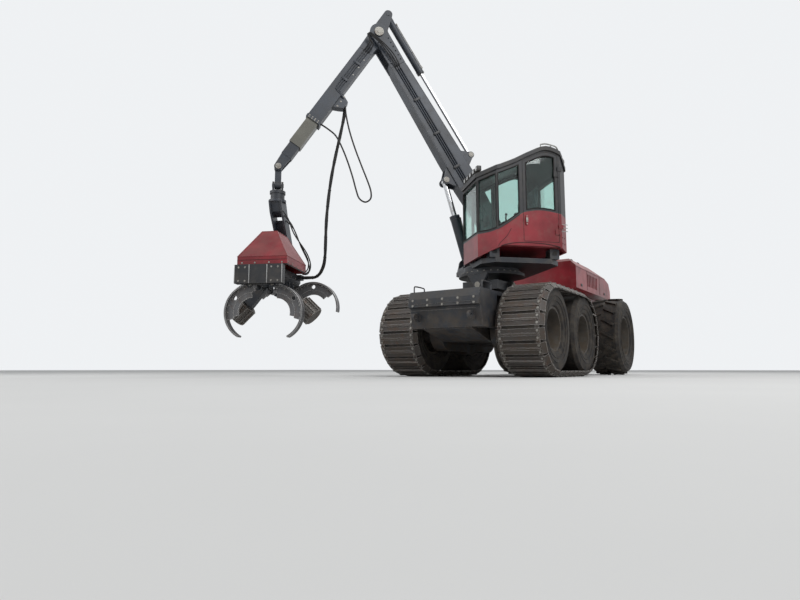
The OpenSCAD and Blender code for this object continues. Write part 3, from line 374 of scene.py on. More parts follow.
def makeSteel(name, colour, rough=0.38, rust=0.3, edge=0.008, shine=0.8, bright=0.8, dirt=0.3):
    material, tree, shader, where = newMaterial(name)
    patch = noiseAt(tree, where, 9.0, 8.0, 0.7)
    fine = noiseAt(tree, where, 60.0, 6.0, 0.75)
    shade = mixColour(tree, ramp(tree, fine, 0.3, 0.7), scaled(colour, 0.7), colour)
    shade = mixColour(tree, times(tree, ramp(tree, patch, 0.5, 0.66), rust), shade, finishes["rust"])
    shade = mixColour(tree, times(tree, ramp(tree, noiseAt(tree, where, 3.4, 7.0), 0.42, 0.6), dirt), shade,
                      finishes["mud"])
    worn = times(tree, times(tree, edgeMask(tree, edge), ramp(tree, fine, 0.3, 0.5)), bright)
    shade = mixColour(tree, worn, shade, finishes["brightSteel"])
    tree.links.new(shade, shader.inputs["Base Color"])
    shader.inputs["Metallic"].default_value = shine
    linkRoughness(tree, shader, patch, rough, rough + 0.35)
    addBump(tree, shader, fine, 0.25, 0.002)
    return material


def makeRubber(name, colour, dusty=0.5, muddy=0.0, rough=0.75):
    material, tree, shader, where = newMaterial(name)
    coarse = noiseAt(tree, where, 6.0, 8.0, 0.7)
    fine = noiseAt(tree, where, 90.0, 5.0, 0.7)
    shade = mixColour(tree, ramp(tree, fine, 0.3, 0.7), scaled(colour, 0.75), colour)
    shade = mixColour(tree, times(tree, ramp(tree, coarse, 0.4, 0.7), dusty), shade, finishes["dust"])
    if muddy:
        clods = ramp(tree, noiseAt(tree, where, 14.0, 8.0, 0.75), 0.47, 0.6)
        shade = mixColour(tree, times(tree, clods, muddy), shade, finishes["mud"])
    tree.links.new(shade, shader.inputs["Base Color"])
    shader.inputs["Roughness"].default_value = rough
    shader.inputs["Specular IOR Level"].default_value = 0.3
    addBump(tree, shader, fine, 0.3, 0.002)
    return material


def makeChrome(name):
    material, tree, shader, where = newMaterial(name)
    film = noiseAt(tree, where, 25.0, 5.0)
    shade = mixColour(tree, ramp(tree, film, 0.45, 0.8), (0.72, 0.73, 0.75), (0.42, 0.39, 0.35))
    tree.links.new(shade, shader.inputs["Base Color"])
    linkRoughness(tree, shader, film, 0.10, 0.30)
    shader.inputs["Metallic"].default_value = 1.0
    return material


def makeGlass(name, tint):
    material, tree, shader, where = newMaterial(name)
    smear = ramp(tree, noiseAt(tree, where, 3.0, 6.0, 0.7), 0.45, 0.75)
    linkRoughness(tree, shader, smear, 0.02, 0.16)
    shade = mixColour(tree, times(tree, smear, 0.35), tint, (0.62, 0.66, 0.62))
    tree.links.new(shade, shader.inputs["Base Color"])
    shader.inputs["Transmission Weight"].default_value = 1.0
    shader.inputs["IOR"].default_value = 1.45
    clear = addNode(tree, "ShaderNodeBsdfTransparent", {"Color": (*tint, 1)})
    path = addNode(tree, "ShaderNodeLightPath")
    mixed = addNode(tree, "ShaderNodeMixShader",
                    {0: path.outputs["Is Shadow Ray"], 1: shader.outputs[0], 2: clear.outputs[0]})
    tree.links.new(mixed.outputs[0], tree.nodes["Material Output"].inputs["Surface"])
    return material


def makeFabric(name, colour):
    material, tree, shader, where = newMaterial(name)
    threads = []
    for turn in ((0, 0, 0.785), (0, 0.785, 2.356)):
        at = addNode(tree, "ShaderNodeMapping", {0: where, 2: turn}).outputs[0]
        threads.append(bands(tree, at, 160.0, 0.6))
    weave = times(tree, *threads)
    wear = ramp(tree, noiseAt(tree, where, 8.0, 5.0), 0.4, 0.7)
    shade = mixColour(tree, weave, scaled(colour, 0.5), colour)
    shade = mixColour(tree, times(tree, wear, 0.4), shade, scaled(colour, 1.7))
    tree.links.new(shade, shader.inputs["Base Color"])
    shader.inputs["Roughness"].default_value = 0.9
    shader.inputs["Sheen Weight"].default_value = 0.25
    addBump(tree, shader, weave, 0.4, 0.001)
    return material


def makeLens(name):
    material, tree, shader, where = newMaterial(name)
    ribs = bands(tree, where, 60.0)
    tree.links.new(mixColour(tree, ribs, (0.62, 0.64, 0.64), (0.88, 0.89, 0.88)), shader.inputs["Base Color"])
    shader.inputs["Roughness"].default_value = 0.12
    shader.inputs["Coat Weight"].default_value = 0.6
    addBump(tree, shader, ribs, 0.4, 0.002)
    return material


paints = {
    "red_paint": makePaint("redPaint", (0.250, 0.015, 0.023), 0.34, wear=0.35, dusty=0.22, scratch=0.35),
    "dark_frame": makePaint("framePaint", (0.026, 0.031, 0.040), 0.48, wear=0.55, dusty=0.32, muddy=0.75),
    "crane_paint": makePaint("cranePaint", (0.034, 0.042, 0.056), 0.40, wear=0.6, dusty=0.2, scratch=0.6),
    "black_paint": makePaint("blackPaint", (0.016, 0.017, 0.020), 0.42, wear=0.25, dusty=0.2),
    "worn_section": makePaint("sectionPaint", (0.165, 0.162, 0.135), 0.36, wear=0.8, dusty=0.25, scratch=0.9),
    "rim_paint": makePaint("rimPaint", (0.055, 0.051, 0.046), 0.6, wear=0.5, dusty=0.4, muddy=0.7),
    "cab_plastic": makePaint("cabPlastic", (0.030, 0.031, 0.035), 0.6, wear=0.0, dusty=0.25, scratch=0.2),
    "lamp": makePaint("lampCase", (0.018, 0.018, 0.019), 0.4, wear=0.2, dusty=0.3, scratch=0.2),
    "track_steel": makeSteel("trackSteel", (0.085, 0.076, 0.070), 0.40, rust=0.35, shine=0.6, bright=1.0,
                             dirt=0.35),
    "knife_steel": makeSteel("knifeSteel", (0.17, 0.17, 0.175), 0.34, rust=0.2, shine=0.75, bright=1.0,
                             dirt=0.2, edge=0.014),
    "roller_steel": makeSteel("rollerSteel", (0.13, 0.12, 0.11), 0.40, rust=0.4, shine=0.6, bright=0.9),
    "bar_steel": makeSteel("barSteel", (0.45, 0.45, 0.45), 0.28, rust=0.1, shine=0.95, bright=0.5, dirt=0.1),
    "engine_iron": makeSteel("engineIron", (0.11, 0.11, 0.112), 0.55, rust=0.25, shine=0.3, bright=0.3),
    "rod_chrome": makeChrome("rodChrome"),
    "tyre": makeRubber("tyreRubber", (0.020, 0.019, 0.019), 0.30, muddy=0.35),
    "hose": makeRubber("hoseRubber", (0.016, 0.016, 0.017), 0.12, rough=0.5),
    "glass": makeGlass("cabGlass", (0.64, 0.82, 0.78)),
    "seat_fabric": makeFabric("seatFabric", (0.060, 0.066, 0.074)),
}
gasket = makeRubber("windowGasket", (0.012, 0.012, 0.013), 0.15, rough=0.6)
lens = makeLens("lampLens")
zinc = makeSteel("zincBolts", (0.34, 0.33, 0.30), 0.38, rust=0.35, shine=0.85, bright=0.4, dirt=0.25)
paleRail = makePaint("paleRail", (0.42, 0.42, 0.40), 0.42, wear=0.3, dusty=0.2)

for row in frame["record"]["subparts"]:
    part = nodes[row["node"]]
    part.data.materials.clear()
    part.data.materials.append(paints[row["material_slot"]])
print("materials:", len(paints))


# hoses that hang from the outer boom: points in the crane's plane, forward, left and up, in metres
bundle = {
    "diameter": 0.060,
    "strands": 4,
    "strandRadius": 0.0145,
    "core": 0.011,
    "twist": 1.6,
    "tieStep": 5,
    "tieWidth": 0.016,
    "tieRadius": 0.0305,
    "bodies": ["outer_boom", "extension_inner", "extension_tip", "tip_link", "rotator", "head_bracket",
               "head"],
    "route": [(2.551, -0.030, 4.868), (2.575, -0.030, 4.650), (2.640, -0.030, 4.300), (2.710, -0.035, 3.950),
              (2.770, -0.045, 3.600), (2.815, -0.055, 3.250), (2.845, -0.065, 2.900), (2.858, -0.080, 2.600),
              (2.862, -0.095, 2.320), (2.866, -0.115, 2.120), (2.885, -0.145, 1.960), (2.940, -0.185, 1.825),
              (3.020, -0.232, 1.755), (3.127, -0.269, 1.744), (3.249, -0.3135, 1.744)],
}
slackHose = {
    "diameter": 0.030,
    "route": [(2.551, 0.045, 4.868), (2.535, 0.048, 4.700), (2.470, 0.055, 4.400), (2.370, 0.065, 4.080),
              (2.250, 0.075, 3.760), (2.140, 0.085, 3.480), (2.080, 0.095, 3.290), (2.085, 0.102, 3.150),
              (2.180, 0.108, 3.080), (2.290, 0.110, 3.140), (2.350, 0.110, 3.300), (2.410, 0.108, 3.520),
              (2.500, 0.100, 3.800), (2.610, 0.085, 4.080), (2.720, 0.065, 4.290), (2.850, 0.040, 4.410),
              (2.984, 0.030, 4.497)],
}


def addStrand(mesh, path, turns, frames, phase):
    offset = bundle["diameter"] / 2 - bundle["strandRadius"]
    addTube(mesh, [p + offset * (math.cos(t + phase) * n + math.sin(t + phase) * b)
                   for p, t, (n, b) in zip(path, turns, frames)], bundle["strandRadius"], 8)


def makeBundle():
    path = [craneAt @ p for p in smoothPath(bundle["route"], 6)]
    count = len(bundle["bodies"]) - 1
    stretch = pathLength(path) / count
    gone, stops, frames, normal = [0.0], [0], [], None
    for i in range(1, len(path)):
        gone.append(gone[-1] + (path[i] - path[i - 1]).length)
        if gone[-1] >= stretch * len(stops) and len(stops) < count:
            stops.append(i)
    stops.append(len(path) - 1)
    for i in range(len(path)):
        along = (path[min(i + 1, len(path) - 1)] - path[max(i - 1, 0)]).normalized()
        normal = along.cross(Vector((0.2, 0.9, 0.1))) if normal is None else normal - normal.project(along)
        normal = normal.normalized()
        frames.append((normal, along.cross(normal)))
    turns = [g * 2 * math.pi / bundle["twist"] for g in gone]
    for k in range(count):
        a, b = stops[k], stops[k + 1] + 1
        part = path[a:b]
        mesh = bmesh.new()
        for strand in range(bundle["strands"]):
            addStrand(mesh, part, turns[a:b], frames[a:b], strand * 2 * math.pi / bundle["strands"])
        addTube(mesh, part, bundle["core"], 8)
        for i in range(a + 2, b - 1, bundle["tieStep"]):
            tie = (path[i + 1] - path[i - 1]).normalized() * bundle["tieWidth"] / 2
            addRod(mesh, path[i] - tie, path[i] + tie, bundle["tieRadius"], 20)
        piece = finishHose(mesh, f"hoseBundle{k + 1}", bundle["bodies"][k:k + 2])
        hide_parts("hose_bundle")


def makeSlackHose():
    path = [craneAt @ p for p in smoothPath(slackHose["route"], 5)]
    mesh = bmesh.new()
    addTube(mesh, path, slackHose["diameter"] / 2, 12)
    piece = finishHose(mesh, "slackHose", ["outer_boom"])
    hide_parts("hose_loop")


makeBundle()
makeSlackHose()
print("hoses made")


# tracks: the shoes' places follow the loop round the two wheels of a bogie
track = {
    "loopRadius": 0.680,
    "arcShoes": 10,
    "runShoes": 7,
    "axleHeight": 0.715,
    "middle": 1.050,
    "linkAt": 0.285,
    "shoeTop": 0.014,
    "boltGap": 0.052,
}
trackPitch = 2 * track["loopRadius"] * math.sin(math.pi / track["arcShoes"] / 2)
bogieBase = track["runShoes"] * trackPitch


def shoePlaces():  # middle and direction of each shoe, forward and up from the bogie's middle
    corners = []
    for end in (1, -1):
        for i in range(track["arcShoes"] + 1):
            angle = math.radians(-90 * end + i * 180 / track["arcShoes"])
            corners.append(Vector((end * bogieBase / 2 + track["loopRadius"] * math.cos(angle),
                                   track["loopRadius"] * math.sin(angle))))
        for i in range(1, track["runShoes"]):
            corners.append(Vector((end * (bogieBase / 2 - i * trackPitch), end * track["loopRadius"])))
    return [((a + b) / 2, (b - a).normalized()) for a, b in zip(corners, corners[1:] + corners[:1])]


def makeTrackBolts():
    for side, name in sideNames:
        mesh = bmesh.new()
        for middle, along in shoePlaces():
            out = Vector((along.y, 0, -along.x))
            for across in (-1, 1):
                for step in (-1, 1):
                    at = middle + step * track["boltGap"] * along
                    y = side * track["middle"] + across * track["linkAt"]
                    addBolt(mesh, Vector((at.x, y, at.y + track["axleHeight"])) + out * track["shoeTop"], out,
                            0.013, 0.012)
        finishPiece(mesh, f"trackBolts{name.capitalize()}", zinc, "chassis", chassisAt, 0)


# hubs and sidewall ribs; disc and hub tell how far out from the machine's middle their outer faces lie
frontWheel = {"nutCircle": 0.215, "disc": 0.932, "hub": 0.950, "ribs": (0.43, 0.50, 0.57), "middle": 1.050,
              "sidewall": 0.338, "bulge": 0.16, "ringParts": 56}
rearWheel = {"nutCircle": 0.190, "disc": 1.072, "hub": 1.090, "ribs": (0.53, 0.60, 0.66), "middle": 1.050,
             "sidewall": 0.349, "bulge": 0.14, "ringParts": 64, "axleHeight": 0.820, "valveAt": 0.36}
hubCap = {"nuts": 10, "radius": 0.13, "bolts": 8}


def addHub(mesh, centre, side, wheel):  # wheel nuts and a stepped cap
    out = Vector((0, side, 0))
    for x, z in circle(hubCap["nuts"], wheel["nutCircle"]):
        addBolt(mesh, (centre[0] + x, side * wheel["disc"], centre[1] + z), out, 0.020, 0.024)
    radius = hubCap["radius"]
    at = Vector((centre[0], side * wheel["hub"], centre[1]))
    addRod(mesh, at - out * 0.004, at + out * 0.016, radius, 32)
    addRod(mesh, at + out * 0.014, at + out * 0.045, radius * 0.74, 32, radius * 0.56)
    addRod(mesh, at + out * 0.044, at + out * 0.055, 0.024, 6)
    for x, z in circle(hubCap["bolts"], radius * 0.86, 0.5):
        addBolt(mesh, at + out * 0.016 + Vector((x, 0, z)), out, 0.008)


def addTyreRibs(mesh, centre, side, wheel):
    for face in (-1, 1):
        for radius in wheel["ribs"]:
            drop = abs(radius - wheel["ribs"][1]) * wheel["bulge"]
            y = side * wheel["middle"] + face * (wheel["sidewall"] - drop)
            addRing(mesh, (centre[0], y, centre[1]), (0, 1, 0), radius, 0.007, wheel["ringParts"])


def makeFrontHubs():
    mesh = bmesh.new()
    ribs = bmesh.new()
    for side in (1, -1):
        for end in (1, -1):
            centre = (end * bogieBase / 2, track["axleHeight"])
            addHub(mesh, centre, side, frontWheel)
            addTyreRibs(ribs, centre, side, frontWheel)
    finishPiece(mesh, "frontHubs", zinc, "chassis", chassisAt)
    finishPiece(ribs, "frontTyreRibs", paints["tyre"], "chassis", chassisAt, 60)


def makeRearHubs():
    height = rearWheel["axleHeight"]
    for side, name in sideNames:
        place = Matrix.Translation((jointAt(f"rear_wheel_{name}_spin").x, slewPin.y, 0))
        mesh = bmesh.new()
        addHub(mesh, (0, height), side, rearWheel)
        x = rearWheel["valveAt"]
        addRod(mesh, (x, side * 1.30, height), (x, side * 1.345, height), 0.006, 8)
        finishPiece(mesh, f"rearHub{name.capitalize()}", zinc, f"rear_wheel_{name}", place)
        ribs = bmesh.new()
        addTyreRibs(ribs, (0, height), side, rearWheel)
        finishPiece(ribs, f"rearTyreRibs{name.capitalize()}", paints["tyre"], f"rear_wheel_{name}",
                    place, 60)


makeTrackBolts()
makeFrontHubs()
makeRearHubs()
print("tracks and wheels dressed")


# frames: bolts, deck plates, grab irons, hood slats, seams and tail lamps
chassisTrim = {
    "earFace": 0.401,  # outer face of the ears round the levelling cross
    "levelHeight": 1.520,
    "deck": 1.300,
    "noseAhead": 1.750,
    "plateAt": 0.33,
    "plateHalf": 0.19,
    "plateBars": 9,
    "ironAt": 0.585,
}


def makeChassisTrim():
    mesh = bmesh.new()
    deck = chassisTrim["deck"]
    for side in (1, -1):
        at = Vector((0, side * chassisTrim["earFace"], chassisTrim["levelHeight"]))
        addRod(mesh, at, at + Vector((0, side * 0.018, 0)), 0.072, 32)
        for x, z in circle(6, 0.05):
            addBolt(mesh, at + Vector((x, side * 0.018, z)), (0, side, 0), 0.008)
    addBolts(mesh, (0.95, 1.38), (-0.50, -0.17, 0.17, 0.50), (deck,), (0, 0, 1), 0.011, 0.010)  # cover plates
    addBolts(mesh, (chassisTrim["noseAhead"],), (-0.52, -0.26, 0.0, 0.26, 0.52), (1.08, 1.16), (1, 0, 0),
             0.012, 0.010)
    finishPiece(mesh, "frameBolts", zinc, "chassis", chassisAt)
    mesh = bmesh.new()
    for side in (1, -1):  # non-slip plates on the deck and a grab iron at each corner of the nose
        y, half = side * chassisTrim["plateAt"], chassisTrim["plateHalf"]
        addBox(mesh, (0.86, y - half, deck + 0.0003), (1.46, y + half, deck + 0.006), 0.002)
        for k in range(chassisTrim["plateBars"]):
            x = 0.90 + k * 0.065
            addRod(mesh, (x, y - half + 0.03, deck + 0.007), (x, y + half - 0.03, deck + 0.007), 0.004, 6)
        iron = [(x, side * chassisTrim["ironAt"], deck + rise) for x, rise in (
            (1.30, -0.004), (1.30, 0.085), (1.34, 0.110), (1.56, 0.110), (1.60, 0.085), (1.60, -0.004))]
        addTube(mesh, smoothPath(iron, 3), 0.011, 8)
    for z in (1.00, 1.10):  # weld beads on the nose
        addRod(mesh, (1.752, -0.55, z), (1.752, 0.55, z), 0.005, 6)
    finishPiece(mesh, "deckPlates", paints["dark_frame"], "chassis", chassisAt)


rearTrim = {
    "side": 0.82,  # half width of the hood at its shoulder
    "top": 2.350,
    "fallFrom": -1.90,  # behind this the hood's top falls
    "fall": 0.240 / 1.05,
    "back": -3.070,
    "slots": 7,
    "slotStep": 0.110,
    "grilleStep": 0.09,
}


def hoodTop(x):
    return rearTrim["top"] - max(0.0, rearTrim["fallFrom"] - x) * rearTrim["fall"]


def makeRearTrim():
    back = rearTrim["back"]
    wide = rearTrim["side"]
    mesh = bmesh.new()
    for k in range(rearTrim["slots"]):  # slanted slats in the side slots
        x = -1.30 - k * rearTrim["slotStep"]
        for side in (1, -1):
            slat = ((0.004, 0.020, 1.853), (0.056, 0.008, 1.853), (0.056, 0.008, 2.107),
                    (0.004, 0.020, 2.107))
            addSheet(mesh, [(x + dx, side * (wide - depth), z) for dx, depth, z in slat], 0.004)
    for k in range(rearTrim["slots"]):  # slats of the grille at the back
        low, high = 1.184 + k * rearTrim["grilleStep"], 1.221 + k * rearTrim["grilleStep"]
        addSheet(mesh, [(back + 0.022, -0.478, low), (back + 0.022, 0.478, low),
                        (back + 0.006, 0.478, high), (back + 0.006, -0.478, high)], 0.004)
    for side in (1, -1):  # latches and hinges of the side panels
        for x in (-0.80, -2.55):
            addBox(mesh, (x - 0.05, side * wide - 0.004, 1.80), (x + 0.05, side * wide + 0.010, 1.85), 0.004)
        for x in (-0.70, -1.15, -2.15, -2.55):
            ends = [(end, side * 0.664, hoodTop(end) + 0.002) for end in (x - 0.05, x + 0.05)]
            addRod(mesh, *ends, 0.009, 10)
    finishPiece(mesh, "hoodSlats", paints["black_paint"], "rear_chassis", rearAt)
    mesh = bmesh.new()
    for side in (1, -1):  # seams between the panels
        y = side * (wide + 0.001)
        for start, end in (((-1.20, 1.76), (-1.20, 2.18)), ((-2.16, 1.76), (-2.16, 2.18)),
                           ((-0.47, 2.17), (-2.60, 2.17))):
            addRod(mesh, (start[0], y, start[1]), (end[0], y, end[1]), 0.003, 6)
    addRod(mesh, (-1.20, -0.65, hoodTop(-1.20) + 0.0005), (-1.20, 0.65, hoodTop(-1.20) + 0.0005), 0.003, 6)
    finishPiece(mesh, "hoodSeams", gasket, "rear_chassis", rearAt)
    mesh = bmesh.new()
    for side in (1, -1):
        addBox(mesh, (-3.152, side * 0.60 - 0.07, 0.845), (-3.140, side * 0.60 + 0.07, 0.915), 0.006)
    finishPiece(mesh, "tailLamps", makePaint("tailLampRed", (0.34, 0.012, 0.012), 0.2, wear=0.0, scratch=0.0),
                "rear_chassis", rearAt)
    mesh = bmesh.new()
    for side in (1, -1):
        addBolts(mesh, (-0.60, -1.0, -1.4, -2.4, -2.8), (side * 0.380,), (0.90,), (0, side, 0), 0.013, 0.012)
    addBolts(mesh, (-3.150,), (-0.62, -0.31, 0.31, 0.62), (0.74,), (-1, 0, 0), 0.013, 0.012)
    finishPiece(mesh, "rearBolts", zinc, "rear_chassis", rearAt)


def makeSlewBolts():
    mesh = bmesh.new()
    for x, y in circle(30, 0.535):
        addBolt(mesh, (x, y, 1.745), (0, 0, 1), 0.014, 0.018)
    for side in (1, -1):
        at = Vector((side * 0.5605, 0, chassisTrim["levelHeight"]))
        addRod(mesh, at, at + Vector((side * 0.009, 0, 0)), 0.048, 32)
    finishPiece(mesh, "slewBolts", zinc, "slew_base", chassisAt)


makeChassisTrim()
makeRearTrim()
makeSlewBolts()
print("frames dressed")


# cab: the lines of sill, roof and underside, forward and up, and where the panes start and end in plan
cab = {
    "sill": [(0.5, 2.290), (0.3, 2.310), (0.095, 2.425), (-0.13, 2.585), (-0.26, 2.640), (-0.55, 2.670),
             (-1.0, 2.600)],
    "roof": [(0.2, 3.330), (-0.05, 3.440), (-0.317, 3.580), (-0.6, 3.690), (-0.864, 3.610), (-1.0, 3.440)],
    "under": [(0.5, 1.915), (0.195, 2.055), (-0.04, 2.113), (-0.32, 2.125), (-0.59, 2.110), (-0.815, 2.070),
              (-1.0, 2.020)],
    "roofFront": (0.5, 3.240),
    "front": 0.5,
    "back": -1.0,
    "right": -0.26,
    "left": 1.0,
    "sillStrip": 0.040,
    "headStrip": 0.065,
    "doorHead": 0.091,
    "panes": {
        "front": ((0.5, 0.01), (0.5, 0.73)),
        "frontLeft": ((0.486, 0.764), (0.264, 0.986)),
        "frontRight": ((0.486, -0.024), (0.264, -0.246)),
        "left": ((0.23, 1.0), (-0.125, 1.0)),
        "right": ((0.23, -0.26), (-0.125, -0.26)),
        "back": ((-1.0, -0.08), (-1.0, 0.82)),
        "rightRear": ((-0.195, -0.26), (-0.80, -0.26)),
    },
    "doorPane": ((-0.25, 1.0), (-0.745, 1.0)),
    "door": (-0.195, -0.80, 2.155),
    "gasketRadius": 0.010,
    "mounts": ((-0.76, 0.27), (-0.06, 0.82), (1.965, 2.025)),
}
# the shell is made over the plainer solids, in the photograph's outline
shell = {
    "wall": 0.045,
    "glass": 0.006,
    "frontCorner": 0.250,
    "rearCorner": 0.150,
    "roofThick": 0.080,
    "roofCrown": 0.014,
    "overhang": 0.028,
    "floor": (2.068, 2.090),
    "doorHead": 0.036,
    "doorGap": 0.006,
    "hinge": (-0.803, 1.014),
    "hingeLevels": (2.280, 3.250),
    "leafLength": 0.090,
    "knuckleLength": 0.070,
    "knuckleRise": 0.096,
    "plateReach": 0.070,
    "step": 0.03,
}
cabMiddle = Vector(((cab["front"] + cab["back"]) / 2, (cab["left"] + cab["right"]) / 2, 0))


def smoothLine(points):
    return [(p.x, p.z) for p in smoothPath([(x, 0, z) for x, z in points], 4)]


def heightOn(line, x):
    for (x1, z1), (x2, z2) in zip(line, line[1:]):
        if x2 <= x <= x1:
            return z1 + (z2 - z1) * (x1 - x) / (x1 - x2)
    return line[-1][1]


sillLine = smoothLine(cab["sill"])
roofLine = [cab["roofFront"]] + smoothLine(cab["roof"])
underLine = smoothLine(cab["under"])


def sillAt(x):
    return heightOn(sillLine, x)


def roofAt(x):
    return heightOn(roofLine, x)


def underAt(x):
    return min(heightOn(underLine, x), shell["floor"][0] + 0.012)


def spread(start, end, steps):
    return [(start[0] + (end[0] - start[0]) * k / steps, start[1] + (end[1] - start[1]) * k / steps)
            for k in range(steps + 1)]


def paneLoop(start, end, head):  # the corners of a pane on the outside of the wall
    plan = spread(start, end, 8 if abs(start[0] - end[0]) > 0.05 else 1)
    low = [Vector((x, y, sillAt(x) + cab["sillStrip"])) for x, y in plan]
    high = [Vector((x, y, roofAt(x) - head)) for x, y in plan]
    return low + high[::-1]


def paneHole(name):
    return paneLoop(*cab["panes"][name], cab["headStrip"]) if name in cab["panes"] else None


def wallRuns():  # the eight walls in plan, each from its front end to its rear end
    f, b = shell["frontCorner"], shell["rearCorner"]
    x1, x2, y1, y2 = cab["back"], cab["front"], cab["right"], cab["left"]
    return {"front": ((x2, y1 + f), (x2, y2 - f)), "frontLeft": ((x2, y2 - f), (x2 - f, y2)),
            "frontRight": ((x2, y1 + f), (x2 - f, y1)), "right": ((x2 - f, y1), (x1 + b, y1)),
            "left": ((x2 - f, y2), (x1 + b, y2)), "rearLeft": ((x1 + b, y2), (x1, y2 - b)),
            "rearRight": ((x1 + b, y1), (x1, y1 + b)), "back": ((x1, y1 + b), (x1, y2 - b))}


def joinRings(mesh, rings):  # walls from each ring of corners to the next, closed at both ends
    for one, two in zip(rings, rings[1:]):
        for k in range(len(one)):
            n = (k + 1) % len(one)
            mesh.faces.new((one[k], one[n], two[n], two[k]))
    mesh.faces.new(rings[0])
    mesh.faces.new(rings[-1][::-1])


def addPanel(mesh, start, end, low, high, hole=None, thick=shell["wall"], depth=0.0):
    # a flat wall between two heights, with an opening, thickened towards the cab's middle
    part = bmesh.new()
    run = Vector(end) - Vector(start)
    plan = spread(start, end, max(1, round(run.length / shell["step"])))
    outline = [Vector((x, y, low(x))) for x, y in plan] + [Vector((x, y, high(x))) for x, y in plan[::-1]]
    edges = []
    for ring in [outline, hole] if hole else [outline]:
        verts = [part.verts.new(p) for p in ring]
        edges += [part.edges.new((verts[k - 1], verts[k])) for k in range(len(verts))]
    bmesh.ops.triangle_fill(part, edges=edges, use_beauty=True, use_dissolve=False)
    inward = Vector((-run.y, run.x, 0)).normalized()
    if inward.dot(cabMiddle - Vector((*start, 0))) < 0:
        inward = -inward
    bmesh.ops.translate(part, verts=part.verts, vec=inward * depth)
    grown = bmesh.ops.extrude_face_region(part, geom=part.faces[:])
    bmesh.ops.translate(part, verts=[g for g in grown["geom"] if isinstance(g, bmesh.types.BMVert)],
                        vec=inward * thick)
    bmesh.ops.recalc_face_normals(part, faces=part.faces)
    data = bpy.data.meshes.new("panel")
    part.to_mesh(data)
    part.free()
    mesh.from_mesh(data)
    bpy.data.meshes.remove(data)


def addHinge(mesh, level, length, reach, inset):  # a knuckle and its plate on the wall
    x, y = shell["hinge"]
    addRod(mesh, (x, y, level), (x, y, level + length), 0.013, 16)
    x1, x2 = sorted((x, x + reach))
    addBox(mesh, (x1, cab["left"] - inset, level), (x2, cab["left"] + 0.014, level + length))


def addFloor(mesh, runs):  # an eight-sided plate inside the walls
    plan = [runs["front"][0], runs["front"][1], runs["left"][0], runs["left"][1],
            runs["back"][1], runs["back"][0], runs["right"][1], runs["right"][0]]
    inner = [Vector(p) + (cabMiddle.xy - Vector(p)).normalized() * 0.05 for p in plan]
    count = len(plan)
    floor = [mesh.verts.new((*p, z)) for z in shell["floor"] for p in inner]
    mesh.faces.new(floor[count - 1::-1])
    mesh.faces.new(floor[count:])
    for k in range(count):
        n = (k + 1) % count
        mesh.faces.new((floor[k], floor[n], floor[count + n], floor[count + k]))


def makeShell():
    front, back, low = cab["door"]
    front, back, low = front + shell["doorGap"], back - shell["doorGap"], low - shell["doorGap"]
    left = cab["left"]
    runs = wallRuns()
    body = bmesh.new()
    rim = bmesh.new()
    for name, (start, end) in runs.items():
        if name != "left":
            addPanel(body, start, end, underAt, sillAt)
        if name not in ("left", "right"):
            addPanel(rim, start, end, sillAt, roofAt, paneHole(name))
    ahead, behind = (point[0] for point in runs["left"])
    for a, b, hole in ((ahead, front, paneHole("left")), (back, behind, None)):  # the wall round the door
        addPanel(body, (a, left), (b, left), underAt, sillAt)
        addPanel(rim, (a, left), (b, left), sillAt, roofAt, hole)
    addPanel(body, (front, left), (back, left), underAt, lambda x: low)
    head = shell["doorHead"] - shell["doorGap"]
    addPanel(rim, (front, left), (back, left), lambda x: roofAt(x) - head, roofAt)
    middle = (-0.16, cab["right"])
    addPanel(rim, runs["right"][0], middle, sillAt, roofAt, paneHole("right"))
    addPanel(rim, middle, runs["right"][1], sillAt, roofAt, paneHole("rightRear"))
    addFloor(body, runs)
    for mesh, level in zip((body, rim), shell["hingeLevels"]):
        addHinge(mesh, level + shell["knuckleRise"], shell["knuckleLength"], -shell["plateReach"], 0.002)
    finishPiece(body, "cabShell", paints["red_paint"], "platform", platformAt,
                replaces="cab_body")
    finishPiece(rim, "cabWindowFrame", paints["black_paint"], "platform", platformAt,
                replaces="cab_frame")


def makeRoof():
    mesh = bmesh.new()
    over, crown = shell["overhang"], shell["roofCrown"]
    foreCut, backCut = cab["front"] - shell["frontCorner"], cab["back"] + shell["rearCorner"]
    line = [(cab["front"] + over, cab["roofFront"][1] - 0.008), *roofLine,
            (cab["back"] - over, roofLine[-1][1] - 0.028)]
    stations = sorted({round(x, 4) for x, z in line} | {foreCut, backCut}, reverse=True)
    rows = []
    for x in stations:
        cut = max(0.0, x - foreCut, backCut - x)
        y1, y2 = cab["right"] - over + cut, cab["left"] + over - cut
        z = heightOn(line, x)
        across = [(y1, 0.0), (y1 + 0.03, crown * 0.7), (y1 + 0.12, crown),
                  (y2 - 0.12, crown), (y2 - 0.03, crown * 0.7), (y2, 0.0)]
        under = [mesh.verts.new((x, y, z)) for y, rise in across]
        upper = [mesh.verts.new((x, y, z + shell["roofThick"] - crown + rise)) for y, rise in across]
        rows.append(under + upper[::-1])
    joinRings(mesh, rows)
    finishPiece(mesh, "cabRoofShell", paints["black_paint"], "platform", platformAt,
                replaces="cab_roof")


def addPane(mesh, start, end, head):
    addPanel(mesh, start, end, lambda x: sillAt(x) + cab["sillStrip"] + 0.002,
             lambda x: roofAt(x) - head - 0.002, None, shell["glass"], shell["wall"] / 2)


def makePanes():
    mesh = bmesh.new()
    for ends in cab["panes"].values():
        addPane(mesh, *ends, cab["headStrip"])
    finishPiece(mesh, "cabPanes", paints["glass"], "platform", platformAt, replaces="cab_glass")


